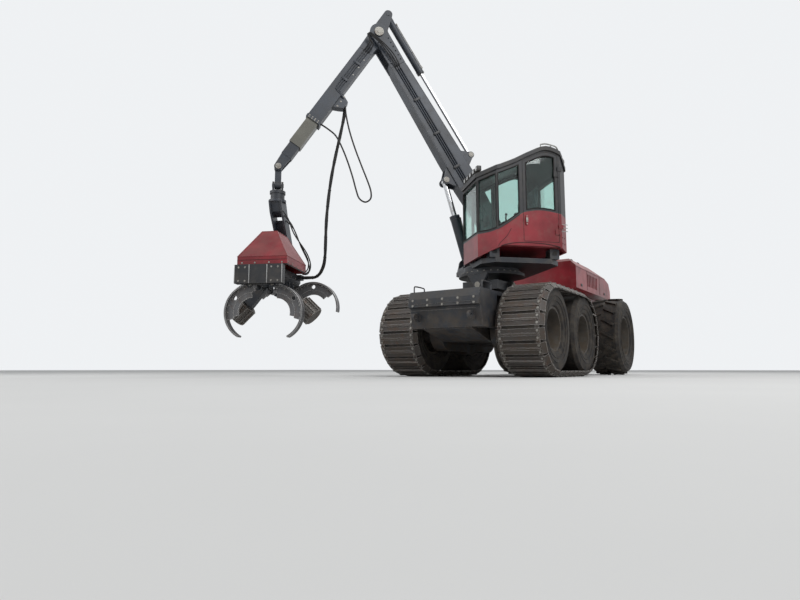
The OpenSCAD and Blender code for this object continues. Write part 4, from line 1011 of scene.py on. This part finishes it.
def makeDoor():
    front, back, low = cab["door"]
    left = cab["left"]
    lower, upper = shell["hingeLevels"]
    mesh = bmesh.new()
    addPanel(mesh, (front, left), (back, left), lambda x: low, sillAt)
    addHinge(mesh, lower, shell["leafLength"], shell["plateReach"], 0.001)
    addBox(mesh, (front - 0.060, left - 0.001, 2.420), (front - 0.030, left + 0.025, 2.570), 0.005)
    finishPiece(mesh, "doorPanel", paints["red_paint"], "door", platformAt, replaces="cab_door")
    mesh = bmesh.new()
    addPanel(mesh, (front, left), (back, left), sillAt, lambda x: roofAt(x) - shell["doorHead"],
             paneLoop(*cab["doorPane"], cab["doorHead"]))
    addHinge(mesh, upper, shell["leafLength"], shell["plateReach"], 0.001)
    finishPiece(mesh, "doorWindowFrame", paints["black_paint"], "door", platformAt,
                replaces="cab_door")
    mesh = bmesh.new()
    addPane(mesh, *cab["doorPane"], cab["doorHead"])
    finishPiece(mesh, "doorPaneGlass", paints["glass"], "door", platformAt, replaces="door_glass")


lampRow = {"places": (0.05, 0.21, 0.37, 0.53, 0.69), "face": 0.487, "height": 3.410, "radius": 0.038}


def makeLamps():
    mesh = bmesh.new()
    face, z = lampRow["face"], lampRow["height"]
    for y in lampRow["places"]:
        addBox(mesh, (face - 0.075, y - 0.056, z - 0.045), (face, y + 0.056, z + 0.045), 0.012)
        addBox(mesh, (face - 0.052, y - 0.012, z - 0.110), (face - 0.025, y + 0.012, z - 0.040), 0.002)
    finishPiece(mesh, "lampCases", paints["lamp"], "platform", platformAt, replaces="work_lamps")


def makeLampLenses():
    rims = bmesh.new()
    glass = bmesh.new()
    face, z, radius = lampRow["face"], lampRow["height"], lampRow["radius"]
    for y in lampRow["places"]:
        addRing(rims, Vector((face, y, z)), (1, 0, 0), radius, 0.005, 28)
        addRod(glass, (face - 0.002, y, z), (face + 0.006, y, z), radius - 0.002, 28, radius * 0.8)
    finishPiece(rims, "lampRims", paints["lamp"], "platform", platformAt, 60)
    finishPiece(glass, "lampLenses", lens, "platform", platformAt)


def addLoop(mesh, corners, radius):  # a closed rubber strip through the corners
    for a, b in zip(corners, corners[1:] + corners[:1]):
        addRod(mesh, a, b, radius, 8)
        bmesh.ops.create_icosphere(mesh, subdivisions=1, radius=radius, matrix=Matrix.Translation(a))


def makeGaskets():
    mesh = bmesh.new()
    for name in cab["panes"]:
        addLoop(mesh, paneHole(name), cab["gasketRadius"])
    finishPiece(mesh, "windowGaskets", gasket, "platform", platformAt, 60)
    mesh = bmesh.new()
    addLoop(mesh, paneLoop(*cab["doorPane"], cab["doorHead"]), cab["gasketRadius"])
    finishPiece(mesh, "doorGasket", gasket, "door", platformAt, 60)


def makeCabTrim():
    mesh = bmesh.new()
    for k in range(3):  # louvres in the vents low at the rear
        z = 2.341 + k * 0.055
        for y, out in ((cab["left"], 1), (cab["right"], -1)):
            addSheet(mesh, [(x, y + out * step, z + rise) for x, step, rise in (
                (-0.952, -0.012, 0.008), (-0.838, -0.012, 0.008),
                (-0.838, 0.002, -0.006), (-0.952, 0.002, -0.006))], 0.004)
    rail = [Vector((x, cab["left"] - 0.11 * (x < -0.85), roofAt(x) + 0.112))
            for x in (-0.52, -0.60, -0.70, -0.80, -0.90, -0.985)]
    addTube(mesh, smoothPath(rail, 4), 0.012, 8)
    for at in (rail[0], rail[2], rail[5]):
        addRod(mesh, at - Vector((0, 0, 0.04)), at, 0.009, 8)
    finishPiece(mesh, "roofRailAndVents", paleRail, "platform", platformAt, 40)
    mesh = bmesh.new()
    for y, out in ((cab["left"], 0.002), (cab["right"], -0.002)):  # beads along the edges of the red body
        addTube(mesh, [Vector((x, y + out, z + 0.006)) for x, z in underLine if -0.85 <= x <= 0.25], 0.006, 6)
        addTube(mesh, [Vector((x, y + out, z - 0.004)) for x, z in sillLine if -0.15 <= x <= 0.25], 0.004, 6)
        nose = ((0.245, 2.05), (0.20, 2.12), (0.10, 2.22), (0.02, 2.35))
        addTube(mesh, smoothPath([(x, y + out / 2, z) for x, z in nose], 4), 0.004, 6)
    finishPiece(mesh, "cabSeams", gasket, "platform", platformAt, 60)
    mesh = bmesh.new()
    for x, inset in ((-0.93, 0.08), (-0.86, 0.01)):
        addBolts(mesh, (x,), (cab["left"] - inset,), (2.14, 2.24), (0, 1, 0), 0.007, 0.005)
    xs, ys, (low, high) = cab["mounts"]
    for x in xs:
        for y in ys:
            addRod(mesh, (x, y, low), (x, y, high), 0.094, 20, 0.085)
    finishPiece(mesh, "cabMounts", gasket, "platform", platformAt)


def makeDoorTrim():
    y = cab["left"]
    front, back, low = cab["door"]
    mesh = bmesh.new()
    addBolts(mesh, (front - 0.045,), (y + 0.025,), (2.43, 2.56), (0, 1, 0), 0.006, 0.004)
    addBox(mesh, (front - 0.062, y + 0.024, 2.455), (front - 0.028, y + 0.036, 2.535), 0.004)
    finishPiece(mesh, "doorLatch", zinc, "door", platformAt)
    mesh = bmesh.new()
    for a, b in (((front, low + 0.01), (front, 2.60)), ((back, low + 0.01), (back, 2.63)),
                 ((front, low), (back, low))):
        addRod(mesh, (a[0], y - 0.004, a[1]), (b[0], y - 0.004, b[1]), 0.005, 6)
    finishPiece(mesh, "doorSeal", gasket, "door", platformAt, 60)


# what shows through the glass: levers, screen, console and pedals
inside = {"middle": 0.370, "floor": 2.090, "armHeight": 2.680, "armReach": -0.260, "armSpread": 0.290}


def makeCabInside():
    mesh = bmesh.new()
    for side in (1, -1):
        x, y, z = inside["armReach"], inside["middle"] + side * inside["armSpread"], inside["armHeight"]
        addBox(mesh, (x - 0.09, y - 0.052, z), (x + 0.075, y + 0.052, z + 0.022), 0.008)
        addRod(mesh, (x, y, z + 0.02), (x, y, z + 0.06), 0.034, 20, 0.014)
        lever = [(x, y, z + 0.055), (x + 0.004, y, z + 0.10), (x - 0.004, y, z + 0.155)]
        addTube(mesh, smoothPath(lever, 4), 0.014, 12)
        bmesh.ops.create_uvsphere(mesh, u_segments=16, v_segments=10, radius=0.024,
                                  matrix=Matrix.Translation((x - 0.006, y, z + 0.16)))
        for across in (-0.03, 0.0, 0.03):
            addRod(mesh, (x - 0.06, y + across, z + 0.02), (x - 0.06, y + across, z + 0.03), 0.009, 12)
    floor = inside["floor"]
    for y in (0.22, 0.52):  # pedals
        addBox(mesh, (0.16, y - 0.05, floor + 0.03), (0.32, y + 0.05, floor + 0.045), 0.006)
        addRod(mesh, (0.26, y, floor), (0.26, y, floor + 0.035), 0.014, 10)
    addBox(mesh, (0.02, -0.190, 2.66), (0.065, 0.01, 2.84), 0.012)
    addRod(mesh, (0.045, -0.215, 2.73), (0.045, -0.10, 2.74), 0.014, 12)
    finishPiece(mesh, "leversAndScreen", paints["cab_plastic"], "platform", platformAt)


makeShell()
makeRoof()
makePanes()
makeDoor()
makeLamps()
makeGaskets()
makeCabTrim()
makeDoorTrim()
makeLampLenses()
makeCabInside()
print("cab dressed")


# seat: two padded pieces in place of the plain cushion, drawn smaller by the room that they swell into
seat = {
    "middle": 0.370,
    "pad": ((-0.6216, 0.1584, 2.4635), (-0.1684, 0.5816, 2.58564)),
    "slope": 0.008,
    "backFoot": (-0.615, -0.522, 0.2016, 2.605),  # its back, front, half width and level
    "backTop": (-0.684, -0.622, 0.1716, 3.2186),
    "bevel": 0.034,
    "fill": 0.7,
    "pressure": 4.0,
    "steps": 14,
    "voxel": 0.006,
    "quickVoxel": 0.012,
    "swell": 0.014,
    "seam": 0.0028,
}


def applyModifiers(piece):
    made = bpy.data.meshes.new_from_object(piece.evaluated_get(bpy.context.evaluated_depsgraph_get()))
    made.materials.clear()
    made.materials.append(paints["seat_fabric"])
    piece.modifiers.clear()
    piece.data = made


def swellPad(pad):
    before = [v.co.copy() for v in pad.data.vertices]
    cloth = pad.modifiers.new("cloth", "CLOTH").settings
    cloth.use_pressure = True
    cloth.uniform_pressure_force = seat["pressure"]
    cloth.effector_weights.gravity = 0
    for step in range(seat["steps"]):
        bpy.context.scene.frame_set(step + 1)
    applyModifiers(pad)
    bpy.context.scene.frame_set(1)
    for vertex, start in zip(pad.data.vertices, before):
        move = vertex.co - start
        if move.length > seat["swell"]:
            vertex.co = start + move.normalized() * seat["swell"]


def makePad(name, corners, lines, facing):
    mesh = bmesh.new()
    verts = [mesh.verts.new(c) for c in corners]
    for face in ((0, 1, 2, 3), (7, 6, 5, 4), (0, 4, 5, 1), (1, 5, 6, 2), (2, 6, 7, 3), (3, 7, 4, 0)):
        mesh.faces.new([verts[k] for k in face])
    bmesh.ops.recalc_face_normals(mesh, faces=mesh.faces)
    bmesh.ops.bevel(mesh, geom=list(mesh.edges), offset=seat["bevel"], segments=4, profile=0.5,
                    affect="EDGES")
    pad = finishPiece(mesh, name, paints["seat_fabric"], place=platformAt, smooth=0)
    remesh = pad.modifiers.new("remesh", "REMESH")
    remesh.mode = "VOXEL"
    remesh.voxel_size = seat["voxel"]
    applyModifiers(pad)
    swellPad(pad)
    pad.data.shade_smooth()
    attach(pad, "platform")
    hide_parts("seat_cushion")
    mesh = bmesh.new()
    surface = BVHTree.FromPolygons([v.co for v in pad.data.vertices], [p.vertices for p in pad.data.polygons])
    facing = Vector(facing)
    out = platformAt.to_3x3() @ facing
    for line in lines:
        hits = [surface.ray_cast(platformAt @ (point + facing * 0.2), -out)[0]
                for point in smoothPath(line, 10)]
        path = [hit - out * 0.0005 for hit in hits if hit is not None]
        if len(path) > 3:
            addTube(mesh, path, seat["seam"], 6)
    finishPiece(mesh, name + "Seams", gasket, "platform", smooth=60)


def makeSeat():
    (x1, y1, z1), (x2, y2, z2) = seat["pad"]
    middle = seat["middle"]
    plan = ((x1, y1), (x2, y1), (x2, y2), (x1, y2))
    corners = [(x, y, z1) for x, y in plan] + [(x, y, z2 - seat["slope"] * (x == x2)) for x, y in plan]
    lines = [[(x, y, z2) for x in (x1 + 0.06, (x1 + x2) / 2, x2 - 0.05)] for y in (y1 + 0.10, y2 - 0.10)]
    lines += [[(x, y, z2) for y in (y1 + 0.10, middle, y2 - 0.10)] for x in (x1 + 0.15, x1 + 0.29)]
    makePad("seatPad", corners, lines, (0, 0, 1))
    corners = []
    for back, front, half, z in (seat["backFoot"], seat["backTop"]):
        corners += [(back, middle - half, z), (front, middle - half, z),
                    (front, middle + half, z), (back, middle + half, z)]
    across = (middle - 0.11, middle, middle + 0.11)
    lines = [[(-0.50, y, 2.70), (-0.55, y, 2.95), (-0.60, y, 3.20)] for y in across[::2]]
    lines += [[(-0.50, y, z) for y in across] for z in (2.80, 2.94, 3.08)]
    makePad("seatBack", corners, lines, (1, 0, 0))


makeSeat()
print("seat made")


# crane: pipes along the booms, caps over the pins, weld beads and the hoses round the elbow
crane = {
    "boomHalf": 0.155,
    "pipeRows": (-0.075, -0.035, 0.005),
    "pipeRadius": 0.011,
    "pipeFrom": 0.45,
    "pipeTo": 3.60,
    "clampFirst": 0.75,
    "clampStep": 0.72,
    "postFace": 0.216,
    "plateFace": 0.174,
    "lever": (0.450, math.radians(55)),
    "sleeve": (0.45, 2.15, 0.115, 0.130),  # start, end, half width and half height
    "sleeveRows": (-0.05, -0.01, 0.03),
    "barrelRadius": 0.066,
    "bows": (0.010, 0.030, 0.050),
}


# the jib cylinder's eye on its lever, past the elbow and up
leverEye = (crane["lever"][0] * math.cos(crane["lever"][1]), crane["lever"][0] * math.sin(crane["lever"][1]))


def addCap(mesh, at, side, radius, bolts=6):
    at, out = Vector(at), Vector((0, side, 0))
    addRod(mesh, at - out * 0.004, at + out * 0.012, radius, 32)
    addRod(mesh, at + out * 0.010, at + out * 0.018, radius * 0.45, 24)
    for x, z in circle(bolts, radius * 0.72):
        addBolt(mesh, at + out * 0.012 + Vector((x, 0, z)), out, 0.007, 0.006)


def makeBoomTrim():
    length = boomLength
    mesh = bmesh.new()
    for side in (1, -1):
        addCap(mesh, (0, side * crane["postFace"], 0), side, 0.090, 8)
        addCap(mesh, (length, side * 0.175, 0), side, 0.085, 8)
        addCap(mesh, (length - 2.8, side * 0.086, leverEye[1]), side, 0.046)
        addCap(mesh, (1.35, side * 0.130, -0.33), side, 0.052)
    finishPiece(mesh, "boomPinCaps", zinc, "boom", boomAt)
    mesh = bmesh.new()
    y = crane["boomHalf"]
    start, end = crane["pipeFrom"], crane["pipeTo"]
    for row in crane["pipeRows"]:
        lane = [(start - 0.16, y - 0.02, row - 0.04), (start - 0.05, y + 0.012, row),
                (start + 0.2, y + 0.016, row), (end - 0.1, y + 0.016, row), (end, y + 0.018, row)]
        addTube(mesh, [Vector(p) for p in lane], crane["pipeRadius"])
        addRod(mesh, (end - 0.035, y + 0.017, row), (end + 0.005, y + 0.018, row), 0.016, 6)
    finishPiece(mesh, "boomPipes", paints["crane_paint"], "boom", boomAt, 50)
    mesh = bmesh.new()
    low, high = crane["pipeRows"][0] - 0.026, crane["pipeRows"][-1] + 0.026
    x = crane["clampFirst"]
    while x < end - 0.1:
        addBox(mesh, (x - 0.022, y - 0.001, low), (x + 0.022, y + 0.031, high), 0.004)
        addBolts(mesh, (x,), (y + 0.031,), (low + 0.032, high - 0.032), (0, 1, 0), 0.006, 0.006)
        x += crane["clampStep"]
    finishPiece(mesh, "boomClamps", paints["black_paint"], "boom", boomAt)
    mesh = bmesh.new()
    edge = ((0.05, 0.138), (1.1, 0.193), (1.7, 0.188), (length - 0.8, 0.138), (length - 0.72, 0.131))
    bolts = [length - 0.62 + 0.09 * k for k in range(6)]
    for side in (1, -1):  # weld beads along the edges and in front of the elbow's plates
        for sign in (1, -1):
            addTube(mesh, [Vector((x, side * (y - 0.001), sign * z)) for x, z in edge], 0.004, 6)
        addTube(mesh, [Vector((length - 0.70, side * 0.157, z)) for z in (-0.145, 0.145)], 0.005, 6)
        addBolts(mesh, bolts, (side * crane["plateFace"],), (0.105, -0.105), (0, side, 0), 0.009, 0.007)
    finishPiece(mesh, "boomWelds", paints["crane_paint"], "boom", boomAt, 50)


def makeOuterTrim():
    start, end, half, high = crane["sleeve"]
    mesh = bmesh.new()
    for side in (1, -1):
        out = (0, side, 0)
        collar = (end - 0.045, end - 0.015)  # round the sleeve's mouth
        addBolts(mesh, collar, (side * (half + 0.012),), (-0.09, -0.03, 0.03, 0.09), out, 0.008, 0.007)
        addBolts(mesh, (1.42, 1.53, 1.64), (side * 0.080,), (-0.19,), out, 0.011)
        addBolts(mesh, (0.62, 0.80, 0.98), (side * half,), (-0.085,), out, 0.008, 0.006)
    finishPiece(mesh, "sleeveBolts", zinc, "outer_boom", outerAt)
    mesh = bmesh.new()
    for k, row in enumerate(crane["sleeveRows"]):
        lane = [(0.50, half + 0.004, row), (0.58, half + 0.014, row), (1.30, half + 0.014, row),
                (1.40, half + 0.010, row - 0.03), (1.44, half - 0.005, -0.13 - 0.01 * k),
                (1.46, half - 0.04, -0.20)]
        addTube(mesh, smoothPath(lane, 3), 0.010)
        addRod(mesh, (0.49, half + 0.004, row), (0.53, half + 0.008, row), 0.015, 6)
    for x in (0.75, 1.15):
        addBox(mesh, (x - 0.02, half - 0.001, -0.075), (x + 0.02, half + 0.027, 0.055), 0.004)
    finishPiece(mesh, "sleevePipes", paints["crane_paint"], "outer_boom", outerAt, 50)
    mesh = bmesh.new()
    for side in (1, -1):
        y = side * (half - 0.003)
        for z in (high - 0.003, 0.003 - high):
            addRod(mesh, (start, y, z), (end - 0.06, y, z), 0.005, 6)
        addRod(mesh, (start, side * half, -high + 0.01), (start, side * half, high - 0.01), 0.005, 6)
    finishPiece(mesh, "sleeveWelds", paints["crane_paint"], "outer_boom", outerAt, 50)
    mesh = bmesh.new()
    for side in (1, -1):  # over the ends of the tip's pin
        addCap(mesh, (outerLength, side * 0.089, 0), side, 0.052)
    finishPiece(mesh, "tipCaps", zinc, "tip_link", outerAt)


def makeCylinderTrim():  # a pipe along each barrel and the bolts of its gland
    eye = boomAt @ Vector((boomLength + leverEye[0], 0, leverEye[1]))
    place = axesAt(eye, boomAt.to_3x3() @ Vector((-1, 0, 0)), craneSide)
    mesh = bmesh.new()
    radius = crane["barrelRadius"]
    for x in (0.20, 1.14):
        addRod(mesh, (x - 0.02, 0, -radius - 0.020), (x + 0.02, 0, -radius - 0.020), 0.013, 10)
        addRod(mesh, (x, 0, -radius + 0.004), (x, 0, -radius - 0.026), 0.017, 12)
    pipe = ((0.21, 0.021), (0.30, 0.018), (1.02, 0.018), (1.13, 0.021))
    addTube(mesh, smoothPath([(x, 0, -radius - drop) for x, drop in pipe], 4), 0.008, 8)
    for y, z in circle(8, radius - 0.012):
        addBolt(mesh, (1.2495, y, z), (1, 0, 0), 0.006, 0.005)
    finishPiece(mesh, "jibBarrelTrim", zinc, "jib_barrel", place, 40)
    place = axesAt(jointAt("lift_barrel_turn"), jointAxis("lift_rod_slide"), craneSide)
    mesh = bmesh.new()
    for x in (0.17, 0.86):
        addRod(mesh, (x, 0, 0.085), (x, 0, 0.112), 0.018, 12)
    pipe = [(0.17, 0, 0.106), (0.26, 0, 0.103), (0.76, 0, 0.103), (0.86, 0, 0.106)]
    addTube(mesh, smoothPath(pipe, 4), 0.008, 8)
    for y, z in circle(8, 0.078, 0.5):
        addBolt(mesh, (0.9245, y, z), (1, 0, 0), 0.007, 0.005)
    finishPiece(mesh, "liftBarrelTrim", zinc, "lift_barrel", place, 40)


def makeElbowHoses():
    rows = zip(crane["pipeRows"], crane["sleeveRows"], crane["bows"])
    for k, (row, lane, bow) in enumerate(rows):
        out = bow * 0.3
        onBoom = [(crane["pipeTo"] + 0.004, 0.173, row), (boomLength - 0.50, 0.208 + out, row - 0.01),
                  (boomLength - 0.18, 0.225 + out, row - 0.05 - bow),
                  (boomLength + 0.03, 0.222 + out, row - 0.16 - bow)]
        onOuter = [(0.30, 0.185, lane - 0.01), (0.495, 0.119, lane)]
        points = [boomAt @ Vector(p) for p in onBoom] + [outerAt @ Vector(p) for p in onOuter]
        makeThinHose(f"elbowHose{k + 1}", points, ("boom", "outer_boom"))


makeBoomTrim()
makeOuterTrim()
makeCylinderTrim()
makeElbowHoses()
print("crane dressed")


# head: levels are above the floor, in the head's own axes
head = {
    "tilt": tiltPin.z,
    "hinge": jointAt("front_knives").z,
    "hingeOut": 0.190,
    "pinEnds": ((-0.484, -1), (-0.163, 1), (0.035, -1), (0.165, 1), (0.367, -1), (0.688, 1)),
    "boxFace": 0.835,
    "knifeRadius": 0.450,
    "knifeInset": 0.080,
    "edgeFrom": 78.0,
    "edgeStep": 4.9,
    "edgeFace": 0.0665,
    "boltAngles": (62, 46, 8, -8),
    "webDepths": (0.125, 0.210),
    "webAngles": (-20.0, 80.0),
    "webSteps": 20,
    "webThick": 0.030,
    "armOpen": 46.0,
    "brim": 0.055,
    "low": -0.095,
    "peak": 0.535,
    "half": 0.425,
    "ends": (-0.260, 0.690),
    "ridge": (-0.090, 0.400),
    "ridgeHalf": 0.130,
}
# each knife: kind, how far it stands open, side, name and its place along the head
knives = (("front", 8.0, 1, "left", 0.450), ("front", 8.0, -1, "right", 0.605),
          ("rear", 60.0, 1, "left", -0.400), ("rear", 60.0, -1, "right", -0.245))


def corners(ends, half, z):
    back, front = ends
    return [Vector(p) for p in ((front, half, z), (back, half, z), (back, -half, z), (front, -half, z))]


def makeCoverTrim():
    brim, low, peak = (head["tilt"] + head[level] for level in ("brim", "low", "peak"))
    back, front = head["ends"]
    half = head["half"]
    ring = corners(head["ends"], half, brim)
    top = corners(head["ridge"], head["ridgeHalf"], peak)
    mesh = bmesh.new()
    for k in range(4):
        n = (k + 1) % 4
        for a, b in ((ring[k], ring[n]), (top[k], top[n]), (ring[k], top[k])):
            addRod(mesh, a, b, 0.0055, 8)
        for corner in (ring[k], top[k]):
            bmesh.ops.create_icosphere(mesh, subdivisions=2, radius=0.0056, matrix=Matrix.Translation(corner))
    finishPiece(mesh, "coverEdges", paints["red_paint"], "head", headAt, 60)
    mesh = bmesh.new()
    z = low + 0.045
    for side in (1, -1):
        addBolts(mesh, (-0.18, 0.0, 0.22, 0.44, 0.62), (side * half,), (z,), (0, side, 0), 0.010, 0.008)
    addBolts(mesh, (front,), (-0.34, -0.12, 0.12, 0.34), (z,), (1, 0, 0), 0.010, 0.008)
    for x in (0.02, 0.24):
        addBox(mesh, (x, -0.012, peak - 0.002), (x + 0.06, 0.012, peak + 0.004), 0.002)
    finishPiece(mesh, "coverBolts", zinc, "head", headAt)
    mesh = bmesh.new()
    for side in (1, -1):  # a strip bolted round the skirt's lower edge
        y = side * half
        addBox(mesh, (back - 0.002, y - 0.003, low), (front + 0.002, y + 0.003, low + 0.022), 0.001)
    addBox(mesh, (front - 0.003, -half, low), (front + 0.003, half, low + 0.022), 0.001)
    addRod(mesh, (front + 0.0005, -half, low + 0.092), (front + 0.0005, half, low + 0.092), 0.0035, 6)
    finishPiece(mesh, "coverStrip", gasket, "head", headAt)


def makeBodyTrim():
    hinge, face = head["hinge"], head["boxFace"]
    mesh = bmesh.new()
    for y in (-0.398, -0.150, 0.150, 0.398):  # bright edges of the saw's box
        low, high = (face - 0.0005, y - 0.006, hinge - 0.008), (face + 0.006, y + 0.006, hinge + 0.292)
        addBox(mesh, low, high, 0.002)
    finishPiece(mesh, "boxEdges", paints["bar_steel"], "head", headAt)
    mesh = bmesh.new()
    addBolts(mesh, (face,), (-0.33, -0.22, 0.22, 0.33), (hinge + 0.03, hinge + 0.25), (1, 0, 0), 0.010, 0.008)
    for side in (1, -1):
        addBolts(mesh, (-0.42, -0.22, 0.0, 0.24, 0.48), (side * 0.250,), (hinge + 0.22,), (0, side, 0), 0.011)
        y = side * head["hingeOut"]
        for x, out in head["pinEnds"]:  # nuts on the hinge pins
            addRod(mesh, (x + out * 0.006, y, hinge), (x + out * 0.018, y, hinge), 0.036, 6)
    finishPiece(mesh, "headBolts", zinc, "head", headAt)


def knifePoint(angle, shift, side, opening):  # across and up, on a knife that is turned open and mirrored
    radius = head["knifeRadius"] + shift
    depth = math.sqrt(head["knifeRadius"] ** 2 - head["knifeInset"] ** 2)
    along, turn = math.radians(angle), math.radians(opening)
    at = Vector((radius * math.cos(along) - head["knifeInset"], radius * math.sin(along) - depth))
    across = at.x * math.cos(turn) - at.y * math.sin(turn)
    up = at.x * math.sin(turn) + at.y * math.cos(turn)
    return side * (head["hingeOut"] + across), head["hinge"] + up


def addKnifeWeb(mesh, side, opening, x):
    low, high = head["webAngles"]
    rings = []
    for k in range(head["webSteps"] + 1):
        angle = low + (high - low) * k / head["webSteps"]
        outer, inner = (knifePoint(angle, -depth, side, opening) for depth in head["webDepths"])
        rings.append([mesh.verts.new((x + face * head["webThick"] / 2, *at))
                      for at, face in ((outer, -1), (outer, 1), (inner, 1), (inner, -1))])
    joinRings(mesh, rings)


def makeKnifeEdges():
    for kind, opening, side, name, x in knives:
        body, ending = f"{kind}_knife_{name}", name.capitalize()
        mesh = bmesh.new()
        for face in (-1, 1):
            angles = [head["edgeFrom"] - k * head["edgeStep"] for k in range(31)]
            addTube(mesh, [Vector((x + face * head["edgeFace"], *knifePoint(angle, 0.011, side, opening)))
                           for angle in angles], 0.005, 6)
        finishPiece(mesh, f"{kind}KnifeEdge{ending}", paints["bar_steel"], body, headAt, 60)
        mesh = bmesh.new()
        for angle in head["boltAngles"]:
            for face in (-1, 1):
                at = (x + face * 0.020, *knifePoint(angle, -0.035, side, opening))
                addBolt(mesh, at, (face, 0, 0), 0.009, 0.008)
        finishPiece(mesh, f"{kind}KnifeBolts{ending}", zinc, body, headAt)
        mesh = bmesh.new()
        addKnifeWeb(mesh, side, opening, x)
        finishPiece(mesh, f"{kind}KnifeWeb{ending}", paints["knife_steel"], body, headAt)


def makeRollerStuds():
    turn = math.radians(head["armOpen"])
    for side, name in sideNames:
        along = Vector((0, side * math.sin(turn), -math.cos(turn)))
        across = Vector((0, side * math.cos(turn), math.sin(turn)))
        start = Vector((0.1, side * head["hingeOut"], head["hinge"])) + along * 0.405
        mesh = bmesh.new()
        for x, y in circle(12, 1, 0.5):
            out = Vector((x, 0, 0)) + y * across
            for step in range(6):
                at = start + along * (0.030 + 0.052 * step) + out * 0.160
                addRod(mesh, at, at + out * 0.021, 0.011, 8, 0.004)
        finishPiece(mesh, f"rollerStuds{name.capitalize()}", paints["roller_steel"], f"feed_roller_{name}",
                    headAt, 40)


def makeSawChain():
    mesh = bmesh.new()
    for k in range(30):
        y = k * 0.021 - 0.300
        for rise in (0.024, 0.116):
            z = head["hinge"] + rise
            addBox(mesh, (0.7665, y - 0.008, z - 0.005), (0.7735, y + 0.006, z + 0.005), 0.001)
    finishPiece(mesh, "sawChain", zinc, "saw_bar", headAt)


# the head's hoses: forward, left, and how far below the rotator
headRoutes = (
    ((0.134, 0.118, 0.20), (0.12, 0.215, 0.34), (0.02, 0.300, 0.60), (-0.16, 0.470, 0.90),
     (-0.30, 0.500, 1.10), (-0.36, 0.430, 1.235), (-0.385, 0.325, 1.240)),
    ((0.044, 0.118, 0.26), (-0.03, 0.235, 0.42), (-0.12, 0.350, 0.72), (-0.26, 0.455, 0.98),
     (-0.33, 0.445, 1.13), (-0.345, 0.390, 1.205), (-0.360, 0.316, 1.226)),
    ((-0.046, 0.118, 0.33), (-0.16, 0.225, 0.46), (-0.26, 0.330, 0.76), (-0.38, 0.420, 1.00),
     (-0.42, 0.440, 1.14), (-0.42, 0.400, 1.205), (-0.415, 0.316, 1.226)),
)


def makeHeadHoses():
    top = jointAt("rotator_spin").z
    for k, route in enumerate(headRoutes):
        points = [headAt @ Vector((x, y, top - drop)) for x, y, drop in route]
        makeThinHose(f"headHose{k + 1}", points, ("head_bracket", "head"))


makeCoverTrim()
makeBodyTrim()
makeKnifeEdges()
makeRollerStuds()
makeSawChain()
makeHeadHoses()
print("head dressed")


# studio
studio = {"floorSize": 60, "floor": (0.72, 0.72, 0.71), "sky": 0.90, "fill": 0.42}


def makeStudio():
    mesh = bmesh.new()
    bmesh.ops.create_grid(mesh, x_segments=1, y_segments=1, size=studio["floorSize"])
    material, tree, shader, where = newMaterial("paleFloor")
    tone = ramp(tree, noiseAt(tree, where, 0.7), 0.3, 0.7)
    tree.links.new(mixColour(tree, tone, tuple(c * 0.98 for c in studio["floor"]), studio["floor"]),
                   shader.inputs["Base Color"])
    shader.inputs["Roughness"].default_value = 0.9
    floor = finishPiece(mesh, "floor", material, smooth=0)
    floor.location.z = -0.001
    world = bpy.data.worlds.new("studio")
    bpy.context.scene.world = world
    world.use_nodes = True
    tree = world.node_tree
    back = tree.nodes["Background"]
    path = addNode(tree, "ShaderNodeLightPath")
    seen = path.outputs["Is Camera Ray"]
    for ray in ("Is Glossy Ray", "Is Transmission Ray"):
        either = addNode(tree, "ShaderNodeMath", {0: seen, 1: path.outputs[ray]}, operation="MAXIMUM")
        seen = either.outputs[0]
    level = addNode(tree, "ShaderNodeMapRange", {"Value": seen, "To Min": studio["fill"],
                                                 "To Max": studio["sky"]})
    back.inputs["Color"].default_value = (0.96, 0.98, 1.0, 1)
    tree.links.new(level.outputs["Result"], back.inputs["Strength"])
    lamps = [("keyLamp", (7.5, 11.0, 11.0), 7.0, 900), ("sideLamp", (11.0, -7.0, 8.0), 6.0, 380),
             ("backLamp", (-9.0, 2.0, 12.0), 7.0, 500)]
    for name, at, size, power in lamps:
        lamp = bpy.data.objects.new(name, bpy.data.lights.new(name, "AREA"))
        lamp.data.size = size
        lamp.data.energy = power
        lamp.location = at
        lamp.rotation_euler = (Vector((0.5, 0.3, 2.2)) - lamp.location).to_track_quat("-Z", "Y").to_euler()
        bpy.context.scene.collection.objects.link(lamp)
    bpy.context.scene.view_settings.view_transform = "Standard"


makeStudio()
print("studio made")
